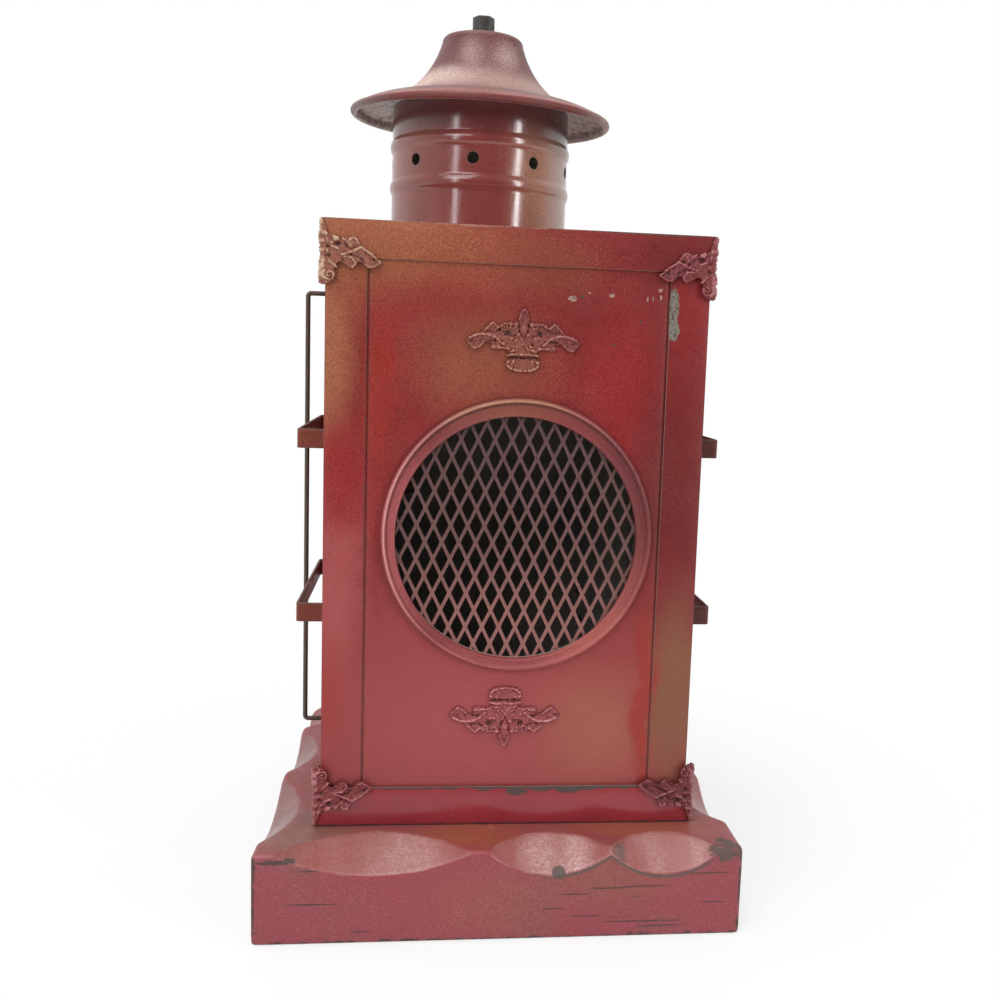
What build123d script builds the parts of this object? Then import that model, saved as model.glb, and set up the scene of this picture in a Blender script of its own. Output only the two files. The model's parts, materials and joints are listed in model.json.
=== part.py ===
import os
from math import hypot

from build123d import *

# A table lantern in tin sheet on a gouged wooden base. Sizes are in millimetres.
# The origin is on the base's underside, halfway along its depth and below the middle of the body's width.
# +Z is up and the front faces -Y.

# Sheet and clearances
sheet = 0.8
pan_slip = 0.2
door_slip = 0.3
pin_slip = 0.05
rivet_slip = 0.05
screw_slip = 0.1

# Base block
base_width = 182.0
base_depth = 175.0
base_height = 34.5
base_round = 2.0
base_shift = -2.3

# Each gouge: middle along its edge, width along the edge, reach back on the top, drop down the face
front_gouges = [(-47.5, 74.0, 20.0, 8.5), (18.0, 48.0, 17.0, 9.5), (61.0, 44.0, 16.5, 10.0)]
back_gouges = [(-54.0, 56.0, 3.6, 9.0), (4.0, 50.0, 3.6, 8.0), (58.0, 46.0, 3.6, 9.0)]
left_gouges = [(-45.0, 66.0, 12.0, 8.0), (22.0, 56.0, 12.0, 9.0), (72.0, 38.0, 14.0, 9.0)]
right_gouges = [(-39.0, 50.0, 12.0, 9.0), (18.0, 54.0, 12.0, 8.0), (66.0, 36.0, 12.0, 8.0)]

# Body
body_width = 142.0
body_depth = 142.0
body_height = 227.5
body_setback = 10.0
post_leg = 15.0
post_groove = 1.0
bottom_flange = 15.2
bottom_standoff = 1.0
top_flange = 13.7
pan_corner = 1.2

# Window in the front panel
window_drop = 0.55
window_shift = 1.4
window_margin = 8.0
bezel_lap = 4.3
bezel_reveal = 2.0
bezel_thickness = 1.4
bezel_bead_radius = 1.1
mesh_lap = 3.0
mesh_rim = 2.0
mesh_thickness = 1.0
mesh_pitch_across = 6.2
mesh_pitch_up = 12.9
mesh_strand = 1.45

# Leaf-scroll stampings: one laid flat on the panel, one folded round the front corners
pattern_half_width = 21.6
pattern_height = 23.8
stamping_half_width = 21.6
stamping_height = 23.8
stamping_thickness = 1.6
corner_pattern_width = 21.4
corner_pattern_height = 25.6
corner_width = 21.4
corner_height = 23.7
scroll_eye_radius = 1.0
upper_ornament_gap = 10.2
upper_ornament_shift = 1.3
lower_ornament_gap = 7.1
lower_ornament_shift = -1.5

# Chimney, its foot, beads and vent holes
chimney_shift = -13.5
chimney_radius = 36.6
chimney_height = 53.5
chimney_foot = 5.0
bead_half_height = 2.8
bead_proud = 0.9
lower_bead_rise = 20.8
upper_bead_rise = 37.2
vent_rise = 29.5
vent_radius = 2.3
vent_count = 9
vent_turn = -6.8
foot_rivet_count = 4
rivet_radius = 0.95
rivet_head_radius = 1.7
rivet_head = 0.8
rivet_tail = 0.6

# Cap and its fixing
cap_lift = 5.2
crown_radius = 16.7
crown_round = 2.5
flare_radius = 32.5
flare_height = 24.7
flare_waist_radius = 21.0
flare_waist_rise = 12.2
ridge_width = 1.7
ridge_drop = 1.0
brim_radius = 52.4
brim_drop = 6.6
brim_crown = 1.0
rim_roll_radius = 1.5
bolt_radius = 2.5
bolt_slip = 0.2
bolt_head_flats = 8.0
bolt_head_height = 7.6
washer_radius = 6.2
washer_thickness = 1.0
nut_height = 4.0
nut_slip = 0.05
spacer_radius = 4.5
bridge_width = 12.0
bridge_thickness = 1.2
bridge_leg = 8.0
bridge_depth = 8.3
bridge_slip = 0.05

# Side guards: strap brackets and a bent wire on each side
strap_height = 7.5
strap_thickness = 1.0
strap_standoff = 12.2
strap_inset = 7.0
strap_foot = 6.5
strap_bend = 1.6
upper_strap_drop = 81.2
lower_strap_rise = 77.7
wire_radius = 1.0
wire_bend = 1.4
wire_slip = 0.05
wire_top_drop = 23.7
wire_bottom_rise = 18.8

# Rear door, hinges, knob and turn-button latch
door_margin = 17.5
door_sheet = 1.0
door_rise = 19.5
door_drop = 18.0
door_lap = 5.5
hinge_gap = 1.5
hinge_lift = 2.2
hinge_barrel_radius = 1.8
hinge_pin_radius = 0.8
hinge_pin_head = 0.8
hinge_knuckle = 8.0
hinge_axial_slip = 0.15
hinge_leaf_width = 12.0
hinge_leaf_notch = 2.2
hinge_inset = 36.0
leaf_rivet_spread = 7.0
leaf_rivet_setback = 9.5
knob_inset = 11.5
knob_radius = 5.0
knob_stem_radius = 2.0
knob_height = 5.2
knob_tail_radius = 3.0
latch_inset = 7.5
latch_reach = 15.5
latch_tail = 5.0
latch_half_width = 4.0
latch_thickness = 1.4
latch_boss_radius = 3.2
latch_boss = 0.9
latch_rivet_radius = 1.5
latch_rivet_head_radius = 2.8
latch_rivet_head = 1.0
latch_axial_slip = 0.1

# Candle dish and floor screws
dish_radius = 39.5
dish_height = 10.0
screw_radius = 1.7
screw_head_radius = 3.6
screw_head = 2.0
screw_length = 20.0
screw_inset = 19.0

# Places that follow from the sizes above
body_left = -body_width / 2
body_right = body_width / 2
body_front = body_setback - body_depth / 2
body_back = body_setback + body_depth / 2
body_top = base_height + body_height
floor_top = base_height + sheet
ceiling = body_top - sheet
wall_height = ceiling - floor_top
field_width = body_width - 2 * (post_leg + post_groove)
field_depth = body_depth - 2 * (post_leg + post_groove)
top_pan_width = body_width + 2 * (pan_slip + sheet)
top_pan_depth = body_depth + 2 * (pan_slip + sheet)
bottom_pan_width = body_width + 2 * (bottom_standoff + sheet)
bottom_pan_depth = body_depth + 2 * (bottom_standoff + sheet)
window_z = base_height + body_height / 2 - window_drop
window_hole_radius = field_width / 2 - window_margin
bezel_outer_radius = window_hole_radius + bezel_lap
bezel_inner_radius = window_hole_radius - bezel_reveal
mesh_radius = window_hole_radius + mesh_lap
mesh_open_radius = mesh_radius - mesh_rim
screw_rows = body_depth - 2 * screw_inset
screw_columns = body_width - 2 * screw_inset
chimney_bore = chimney_radius - sheet
chimney_axis = Axis((chimney_shift, body_setback, 0), (0, 0, 1))
chimney_top = body_top + chimney_height
flare_foot = chimney_top + cap_lift
crown_top = flare_foot + flare_height
bridge_top = chimney_top - bridge_depth
strap_half_span = field_depth / 2 - strap_inset
wall_back = body_back - sheet
door_back = wall_back + door_slip + door_sheet
door_width = body_width - 2 * door_margin
door_height = body_height - door_rise - door_drop
door_low = base_height + door_rise
hinge_x = door_width / 2 + hinge_gap
hinge_y = body_back + hinge_lift
hinge_levels = [door_low + hinge_inset, door_low + door_height - hinge_inset]
latch_z = door_low + door_height / 2


def keep(piece, name):
    """Label a finished piece and write its STEP file."""
    piece.part.label = name
    export_step(piece.part, f"parts/{name}.step")


def facing_back(x, y, z):
    """A plane at a point whose normal points to the rear, for holes and pins along Y."""
    return Plane(origin=(x, y, z), z_dir=(0, 1, 0))


os.makedirs("parts", exist_ok=True)


# Base block: rounded block with scoops along its four top edges
def gouge_places():
    half_width = base_width / 2
    half_depth = base_depth / 2
    sides = [
        (front_gouges, (base_shift, -half_depth), (1, 0), (0, -1)),
        (back_gouges, (base_shift, half_depth), (1, 0), (0, 1)),
        (left_gouges, (base_shift - half_width, 0), (0, 1), (-1, 0)),
        (right_gouges, (base_shift + half_width, 0), (0, 1), (1, 0)),
    ]
    for gouges, edge, along, outward in sides:
        for middle, width, reach, drop in gouges:
            slope = hypot(reach, drop)
            depth = reach * drop / slope
            radius = (width**2 / 4 + depth**2) / (2 * depth)
            lift = radius - depth
            rise = Vector(-outward[0] * reach, -outward[1] * reach, drop).normalized()
            normal = Vector(outward[0] * drop, outward[1] * drop, reach).normalized()
            start = Vector(edge[0] + along[0] * middle, edge[1] + along[1] * middle, base_height)
            yield Plane(origin=start + normal * lift, z_dir=rise), radius, slope


with BuildPart() as base_block:
    with BuildSketch():
        with Locations((base_shift, 0)):
            Rectangle(base_width, base_depth)
    extrude(amount=base_height)
    fillet(base_block.edges(), radius=base_round)
    for place, radius, slope in gouge_places():
        with Locations(place):
            Cylinder(radius, 6 * slope, mode=Mode.SUBTRACT)
    with Locations((0, body_setback, base_height)):
        with GridLocations(screw_columns, screw_rows, 2, 2):
            Hole(screw_radius + screw_slip, depth=screw_length)
keep(base_block, "base_block")


# Bottom pan: tray with its flange turned up outside the posts
with BuildPart() as bottom_pan:
    with BuildSketch(Plane((0, body_setback, base_height))):
        RectangleRounded(bottom_pan_width, bottom_pan_depth, pan_corner)
    extrude(amount=bottom_flange)
    offset(amount=-sheet, openings=bottom_pan.faces().sort_by(Axis.Z)[-1])
    with Locations((0, body_setback, floor_top)):
        with GridLocations(screw_columns, screw_rows, 2, 2):
            Hole(screw_radius + screw_slip, depth=2 * sheet)
keep(bottom_pan, "bottom_pan")

# Top pan: tray with its flange turned down and the flue hole under the chimney
with BuildPart() as top_pan:
    with BuildSketch(Plane((0, body_setback, body_top - top_flange))):
        RectangleRounded(top_pan_width, top_pan_depth, pan_corner)
    extrude(amount=top_flange)
    offset(amount=-sheet, openings=top_pan.faces().sort_by(Axis.Z)[0])
    with Locations((chimney_shift, body_setback, body_top)):
        Hole(chimney_bore, depth=2 * sheet)
        with PolarLocations(chimney_radius + chimney_foot / 2, foot_rivet_count, start_angle=45):
            Hole(rivet_radius + rivet_slip, depth=2 * sheet)
keep(top_pan, "top_pan")

# Corner posts: folded angle strips between the two pans
for name, x_side, y_side in (
    ("front_left_post", -1, -1),
    ("front_right_post", 1, -1),
    ("rear_left_post", -1, 1),
    ("rear_right_post", 1, 1),
):
    x_align = Align.MAX if x_side > 0 else Align.MIN
    y_align = Align.MAX if y_side > 0 else Align.MIN
    corner = (x_side * body_width / 2, body_setback + y_side * body_depth / 2, floor_top)
    with BuildPart() as post:
        with BuildSketch(Plane(corner)):
            Rectangle(post_leg, sheet, align=(x_align, y_align))
            Rectangle(sheet, post_leg, align=(x_align, y_align))
        extrude(amount=wall_height)
        if name == "rear_right_post":
            for level in hinge_levels:
                for step in (-leaf_rivet_spread, leaf_rivet_spread):
                    with Locations(facing_back(hinge_x + leaf_rivet_setback, body_back, level + step)):
                        Hole(rivet_radius + rivet_slip, depth=2 * sheet)
        if name == "rear_left_post":
            with Locations(facing_back(body_left + latch_inset, body_back, latch_z)):
                Hole(latch_rivet_radius + rivet_slip, depth=2 * sheet)
    keep(post, name)


# Walls: the front and side sheets are pressed so that their fields stand flush with the posts
def wall_section(width, field):
    """Plan of a pressed sheet: the field stands one sheet proud of its two margins (+Y is outward)."""
    with BuildSketch() as section:
        Rectangle(width, sheet, align=(Align.CENTER, Align.MIN))
        Rectangle(field - 2 * sheet, sheet, align=(Align.CENTER, Align.MIN), mode=Mode.SUBTRACT)
        with Locations((0, sheet)):
            Rectangle(field, sheet, align=(Align.CENTER, Align.MIN))
    return section.sketch


front_inner = body_front + 2 * sheet
side_inner = body_right - 2 * sheet
inner_depth = body_depth - 4 * sheet
with BuildPart() as front_panel:
    with BuildSketch(Plane(origin=(0, front_inner, floor_top), x_dir=(-1, 0, 0), z_dir=(0, 0, 1))):
        add(wall_section(body_width - 2 * sheet, field_width))
    extrude(amount=wall_height)
    with Locations(Plane(origin=(window_shift, body_front, window_z), z_dir=(0, -1, 0))):
        Hole(window_hole_radius, depth=3 * sheet)
keep(front_panel, "front_panel")

for name, side in (("left_wall", -1), ("right_wall", 1)):
    with BuildPart() as wall:
        foot = (side * side_inner, body_setback, floor_top)
        with BuildSketch(Plane(origin=foot, x_dir=(0, -side, 0), z_dir=(0, 0, 1))):
            add(wall_section(inner_depth, field_depth))
        extrude(amount=wall_height)
    keep(wall, name)

with BuildPart() as back_wall:
    with BuildSketch(Plane(origin=(0, wall_back, floor_top), x_dir=(-1, 0, 0), z_dir=(0, 1, 0))):
        Rectangle(body_width - 2 * sheet, wall_height, align=(Align.CENTER, Align.MIN))
        with Locations((0, door_low + door_lap - floor_top)):
            Rectangle(
                door_width - 2 * door_lap,
                door_height - 2 * door_lap,
                align=(Align.CENTER, Align.MIN),
                mode=Mode.SUBTRACT,
            )
    extrude(amount=-sheet)
    for level in hinge_levels:
        for step in (-leaf_rivet_spread, leaf_rivet_spread):
            with Locations(facing_back(hinge_x + leaf_rivet_setback, wall_back, level + step)):
                Hole(rivet_radius + rivet_slip, depth=2 * sheet)
    with Locations(facing_back(body_left + latch_inset, wall_back, latch_z)):
        Hole(latch_rivet_radius + rivet_slip, depth=2 * sheet)
keep(back_wall, "back_wall")

# Window: beaded bezel on the panel, diamond mesh behind it
window_plane = Plane(origin=(window_shift, body_front, window_z), x_dir=(1, 0, 0), z_dir=(0, 0, 1))
with BuildPart() as window_bezel:
    with BuildSketch(window_plane):
        with BuildLine():
            bead_start = (bezel_outer_radius - 2 * bezel_bead_radius, -bezel_thickness)
            bead_end = (bezel_outer_radius, -bezel_thickness)
            bead_top = (bezel_outer_radius - bezel_bead_radius, -bezel_thickness - bezel_bead_radius)
            lip = (bezel_inner_radius, -bezel_thickness)
            Polyline((bezel_outer_radius, 0), (bezel_inner_radius, 0), lip, bead_start)
            ThreePointArc(bead_start, bead_top, bead_end)
            Line(bead_end, (bezel_outer_radius, 0))
        make_face()
    revolve(axis=Axis((window_shift, body_front, window_z), (0, 1, 0)))
keep(window_bezel, "window_bezel")

mesh_rows = int(mesh_open_radius / mesh_pitch_up) + 1
mesh_columns = int(mesh_open_radius / mesh_pitch_across) + 1
strand_trim = mesh_strand / 2 * hypot(mesh_pitch_across, mesh_pitch_up)
diamond_half_width = mesh_pitch_across / 2 - strand_trim / mesh_pitch_up
diamond_half_height = mesh_pitch_up / 2 - strand_trim / mesh_pitch_across
mesh_places = []
for row in range(-2 * mesh_rows, 2 * mesh_rows + 1):
    for column in range(-mesh_columns, mesh_columns + 1):
        place = ((column + row % 2 / 2) * mesh_pitch_across, row * mesh_pitch_up / 2)
        if hypot(*place) < mesh_open_radius:
            mesh_places.append(place)
with BuildSketch() as mesh_gaps:
    with Locations(*mesh_places):
        Polygon(
            (diamond_half_width, 0),
            (0, diamond_half_height),
            (-diamond_half_width, 0),
            (0, -diamond_half_height),
        )
    Circle(mesh_open_radius, mode=Mode.INTERSECT)
with BuildPart() as mesh_disc:
    with BuildSketch(facing_back(window_shift, body_front + sheet, window_z)):
        Circle(mesh_radius)
        add(mesh_gaps.sketch, mode=Mode.SUBTRACT)
    extrude(amount=mesh_thickness)
keep(mesh_disc, "mesh_disc")

# Leaf-scroll stamping, right half, from the bun at its foot (0, 0) to the tip of its spike
across = stamping_half_width / pattern_half_width
upward = stamping_height / pattern_height
with BuildSketch() as half_stamping:
    with BuildLine():
        bun = [(4.4 * across, 0), (5.8 * across, 0.9 * upward), (6.1 * across, 2.6 * upward)]
        Polyline((0, stamping_height), (0, 0), bun[0])
        ThreePointArc(*bun)
        collar = [(5.6 * across, 4.1 * upward), (3.6 * across, 4.9 * upward), (5.6 * across, 6.0 * upward)]
        stem = [(4.6 * across, 7.2 * upward), (7.2 * across, 8.0 * upward)]
        Polyline(bun[-1], *collar, *stem)
        lobe = [stem[-1], (10.0 * across, 6.9 * upward), (12.2 * across, 7.2 * upward)]
        ThreePointArc(*lobe)
        notch = (13.4 * across, 9.4 * upward)
        Line(lobe[-1], notch)
        leaf_low = [notch, (15.6 * across, 7.6 * upward), (18.6 * across, 7.0 * upward)]
        ThreePointArc(*leaf_low)
        leaf_tip = (stamping_half_width, 10.6 * upward)
        Line(leaf_low[-1], leaf_tip)
        leaf_high = [leaf_tip, (17.6 * across, 13.4 * upward), (14.0 * across, 15.2 * upward)]
        ThreePointArc(*leaf_high)
        crest = [leaf_high[-1], (11.8 * across, 17.8 * upward), (8.8 * across, 16.2 * upward)]
        ThreePointArc(*crest)
        scroll = [crest[-1], (5.2 * across, 17.8 * upward), (2.1 * across, 17.0 * upward)]
        ThreePointArc(*scroll)
        Polyline(scroll[-1], (1.7 * across, 19.4 * upward), (0, stamping_height))
    make_face()
    with Locations((5.5 * across, 14.2 * upward)):
        Circle(scroll_eye_radius, mode=Mode.SUBTRACT)

# Panel ornaments: the lower one is turned upside down
for name, gap, shift, up in (
    ("upper_ornament", upper_ornament_gap, upper_ornament_shift, 1),
    ("lower_ornament", lower_ornament_gap, lower_ornament_shift, -1),
):
    foot = (shift, body_front, window_z + up * (bezel_outer_radius + gap))
    with BuildPart() as ornament:
        with BuildSketch(Plane(origin=foot, x_dir=(up, 0, 0), z_dir=(0, -1, 0))):
            add(half_stamping.sketch)
            mirror(about=Plane.YZ)
        extrude(amount=stamping_thickness)
    keep(ornament, name)

# Corner stamping, one half: a leaf that droops from the fold, from its spear tip (0, 0) down to its curl
across = corner_width / corner_pattern_width
downward = corner_height / corner_pattern_height
with BuildSketch() as half_corner:
    with BuildLine():
        spear = [(0.5 * across, -1.0 * downward), (1.2 * across, -5.7 * downward)]
        crest = [spear[-1], (4.3 * across, -7.0 * downward), (6.2 * across, -8.1 * downward)]
        lobe = [crest[-1], (10.4 * across, -6.9 * downward), (13.6 * across, -9.2 * downward)]
        leaf_tip = (corner_width, -16.5 * downward)
        leaf_low = [leaf_tip, (17.4 * across, -19.0 * downward), (13.0 * across, -16.5 * downward)]
        second_lobe = [leaf_low[-1], (10.6 * across, -19.2 * downward), (5.7 * across, -16.8 * downward)]
        curl = [(4.5 * across, -20.0 * downward), (4.0 * across, -23.6 * downward), (0, -corner_height)]
        Polyline((0, -corner_height), (0, 0), *spear)
        ThreePointArc(*crest)
        ThreePointArc(*lobe)
        Line(lobe[-1], leaf_tip)
        ThreePointArc(*leaf_low)
        ThreePointArc(*second_lobe)
        Line(second_lobe[-1], curl[0])
        ThreePointArc(*curl)
    make_face()
    with Locations((4.8 * across, -10.4 * downward)):
        Circle(scroll_eye_radius, mode=Mode.SUBTRACT)

# Corner ornaments: the corner stamping folded along its spear round a front corner, spear outwards
for name, side, up in (
    ("top_left_ornament", -1, 1),
    ("top_right_ornament", 1, 1),
    ("bottom_left_ornament", -1, -1),
    ("bottom_right_ornament", 1, -1),
):
    pan_width = top_pan_width if up > 0 else bottom_pan_width
    pan_depth = top_pan_depth if up > 0 else bottom_pan_depth
    spear_z = body_top if up > 0 else base_height + pan_slip
    face_x = side * pan_width / 2
    face_y = body_setback - pan_depth / 2
    fold = (face_x, face_y, spear_z)
    quadrant = (Align.MIN if side > 0 else Align.MAX, Align.MAX)
    with BuildPart() as ornament:
        with BuildSketch(Plane(origin=fold, x_dir=(-side, 0, 0), z_dir=(0, side * up, 0))):
            add(half_corner.sketch)
        extrude(amount=stamping_thickness, dir=(0, -1, 0))
        with BuildSketch(Plane(origin=fold, x_dir=(0, 1, 0), z_dir=(up, 0, 0))):
            add(half_corner.sketch)
        extrude(amount=stamping_thickness, dir=(side, 0, 0))
        with BuildSketch(Plane(fold)):
            Circle(stamping_thickness)
            Rectangle(stamping_thickness, stamping_thickness, align=quadrant, mode=Mode.INTERSECT)
        extrude(amount=-up * corner_height)
    keep(ornament, name)

# Chimney: beaded tube on a turned-out foot, with punched vents between the beads
chimney_plane = Plane(origin=(chimney_shift, body_setback, body_top), x_dir=(1, 0, 0), z_dir=(0, -1, 0))
with BuildPart() as chimney:
    with BuildSketch(chimney_plane):
        with BuildLine():
            Polyline(
                (chimney_radius + chimney_foot, sheet),
                (chimney_radius, sheet),
                (chimney_radius, lower_bead_rise - bead_half_height),
            )
            ThreePointArc(
                (chimney_radius, lower_bead_rise - bead_half_height),
                (chimney_radius + bead_proud, lower_bead_rise),
                (chimney_radius, lower_bead_rise + bead_half_height),
            )
            Line(
                (chimney_radius, lower_bead_rise + bead_half_height),
                (chimney_radius, upper_bead_rise - bead_half_height),
            )
            ThreePointArc(
                (chimney_radius, upper_bead_rise - bead_half_height),
                (chimney_radius + bead_proud, upper_bead_rise),
                (chimney_radius, upper_bead_rise + bead_half_height),
            )
            Line((chimney_radius, upper_bead_rise + bead_half_height), (chimney_radius, chimney_height))
            offset(amount=sheet, side=Side.LEFT)
        make_face()
    revolve(axis=chimney_axis)
    with Locations((chimney_shift, body_setback, body_top + vent_rise)):
        with PolarLocations(chimney_radius, vent_count, start_angle=-90 + vent_turn):
            Cylinder(vent_radius, 4 * bead_proud + 4 * sheet, rotation=(0, 90, 0), mode=Mode.SUBTRACT)
    with Locations((chimney_shift, body_setback, body_top + sheet)):
        with PolarLocations(chimney_radius + chimney_foot / 2, foot_rivet_count, start_angle=45):
            Hole(rivet_radius + rivet_slip, depth=2 * sheet)
keep(chimney, "chimney")

# Rivets through the chimney's foot
with BuildPart() as chimney_rivets:
    with Locations((chimney_shift, body_setback, 0)):
        with PolarLocations(chimney_radius + chimney_foot / 2, foot_rivet_count, start_angle=45):
            with Locations((0, 0, ceiling)):
                Cylinder(rivet_radius, 3 * sheet, align=(Align.CENTER, Align.CENTER, Align.MIN))
                Cylinder(rivet_head_radius, rivet_tail, align=(Align.CENTER, Align.CENTER, Align.MAX))
            with Locations((0, 0, body_top + sheet)):
                Cylinder(rivet_head_radius, rivet_head, align=(Align.CENTER, Align.CENTER, Align.MIN))
keep(chimney_rivets, "chimney_rivets")

# Bridge: a strap soldered across the inside of the chimney, its ends turned down along the wall
bridge_middle = (chimney_shift, body_setback, bridge_top)
with BuildPart() as chimney_bridge:
    with BuildSketch(Plane(origin=bridge_middle, x_dir=(1, 0, 0), z_dir=(0, -1, 0))):
        Rectangle(2 * chimney_bore, bridge_leg, align=(Align.CENTER, Align.MAX))
        with Locations((0, -bridge_thickness)):
            Rectangle(
                2 * (chimney_bore - 2 * bridge_thickness),
                bridge_leg,
                align=(Align.CENTER, Align.MAX),
                mode=Mode.SUBTRACT,
            )
    extrude(amount=bridge_width / 2, both=True)
    with Locations(bridge_middle):
        Cylinder(chimney_bore - bridge_slip, 4 * bridge_leg, mode=Mode.INTERSECT)
        Hole(bolt_radius + bolt_slip, depth=2 * bridge_thickness)
keep(chimney_bridge, "chimney_bridge")

# Cap: flat crown, bell flare, a pressed ridge and a drooping brim with a rolled rim
cap_plane = Plane(origin=(chimney_shift, body_setback, flare_foot), x_dir=(1, 0, 0), z_dir=(0, -1, 0))
with BuildPart() as cap:
    with BuildSketch(cap_plane):
        with BuildLine():
            shoulder = (crown_radius - crown_round, flare_height)
            flare_start = (crown_radius, flare_height - crown_round)
            ridge_start = (flare_radius, 0)
            ridge_end = (flare_radius + ridge_width, -ridge_drop)
            brim_middle = ((ridge_end[0] + brim_radius) / 2, brim_crown - (ridge_drop + brim_drop) / 2)
            Line((bolt_radius + bolt_slip, flare_height), shoulder)
            RadiusArc(shoulder, flare_start, crown_round)
            ThreePointArc(flare_start, (flare_waist_radius, flare_waist_rise), ridge_start)
            Line(ridge_start, ridge_end)
            ThreePointArc(ridge_end, brim_middle, (brim_radius, -brim_drop))
            offset(amount=sheet, side=Side.RIGHT)
        make_face()
        with Locations((brim_radius, -brim_drop - rim_roll_radius)):
            Circle(rim_roll_radius)
    revolve(axis=chimney_axis)
keep(cap, "cap")

# Cap fixing: bolt, washer, spacer tube and nut
with BuildPart() as cap_washer:
    with BuildSketch(Plane((chimney_shift, body_setback, crown_top))):
        Circle(washer_radius)
        Circle(bolt_radius + bolt_slip, mode=Mode.SUBTRACT)
    extrude(amount=washer_thickness)
keep(cap_washer, "cap_washer")

nut_low = bridge_top - bridge_thickness - nut_height
with BuildPart() as cap_bolt:
    with BuildSketch(Plane((chimney_shift, body_setback, crown_top + washer_thickness))):
        RegularPolygon(bolt_head_flats / 2, 6, major_radius=False)
    extrude(amount=bolt_head_height)
    with BuildSketch(Plane((chimney_shift, body_setback, nut_low))):
        Circle(bolt_radius)
    extrude(amount=crown_top + washer_thickness - nut_low)
keep(cap_bolt, "cap_bolt")

with BuildPart() as cap_nut:
    with BuildSketch(Plane((chimney_shift, body_setback, nut_low))):
        RegularPolygon(bolt_head_flats / 2, 6, major_radius=False)
        Circle(bolt_radius + nut_slip, mode=Mode.SUBTRACT)
    extrude(amount=nut_height)
keep(cap_nut, "cap_nut")

with BuildPart() as cap_spacer:
    with BuildSketch(Plane((chimney_shift, body_setback, bridge_top))):
        Circle(spacer_radius)
        Circle(bolt_radius + bolt_slip, mode=Mode.SUBTRACT)
    extrude(amount=crown_top - sheet - bridge_top)
keep(cap_spacer, "cap_spacer")

# Side guards: two strap brackets and one bent wire on each side
for side_name, side in (("left", -1), ("right", 1)):
    for level_name, strap_z in (
        ("upper", body_top - upper_strap_drop),
        ("lower", base_height + lower_strap_rise),
    ):
        strap_plane = Plane(
            origin=(side * body_width / 2, body_setback, strap_z),
            x_dir=(side, 0, 0),
            z_dir=(0, 0, 1),
        )
        with BuildPart() as bracket:
            with BuildSketch(strap_plane):
                with BuildLine():
                    FilletPolyline(
                        (strap_thickness, -strap_half_span - strap_foot),
                        (strap_thickness, -strap_half_span),
                        (strap_standoff, -strap_half_span),
                        (strap_standoff, strap_half_span),
                        (strap_thickness, strap_half_span),
                        (strap_thickness, strap_half_span + strap_foot),
                        radius=strap_bend,
                    )
                    offset(amount=strap_thickness, side=Side.LEFT)
                make_face()
            extrude(amount=strap_height / 2, both=True)
        keep(bracket, f"{side_name}_{level_name}_bracket")
    wall_x = side * body_width / 2
    wire_x = wall_x + side * (strap_standoff + wire_radius + wire_slip)
    with BuildPart() as wire:
        with BuildLine() as wire_path:
            FilletPolyline(
                (wall_x, body_setback, body_top - wire_top_drop),
                (wire_x, body_setback, body_top - wire_top_drop),
                (wire_x, body_setback, base_height + wire_bottom_rise),
                (wall_x, body_setback, base_height + wire_bottom_rise),
                radius=wire_bend,
            )
        with BuildSketch(Plane(origin=wire_path.line @ 0, z_dir=wire_path.line % 0)):
            Circle(wire_radius)
        sweep(path=wire_path.line)
    keep(wire, f"{side_name}_guard_wire")

# Rear door with holes for the hinge rivets and the knob
knob_x = knob_inset - door_width / 2
with BuildPart() as door:
    with BuildSketch(Plane(origin=(0, door_back, door_low), x_dir=(-1, 0, 0), z_dir=(0, 1, 0))):
        Rectangle(door_width, door_height, align=(Align.CENTER, Align.MIN))
    extrude(amount=-door_sheet)
    for level in hinge_levels:
        for step in (-leaf_rivet_spread, leaf_rivet_spread):
            with Locations(facing_back(hinge_x - leaf_rivet_setback, door_back, level + step)):
                Hole(rivet_radius + rivet_slip, depth=2 * door_sheet)
    with Locations(facing_back(knob_x, door_back, latch_z)):
        Hole(knob_stem_radius + rivet_slip, depth=2 * door_sheet)
keep(door, "door")

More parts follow.
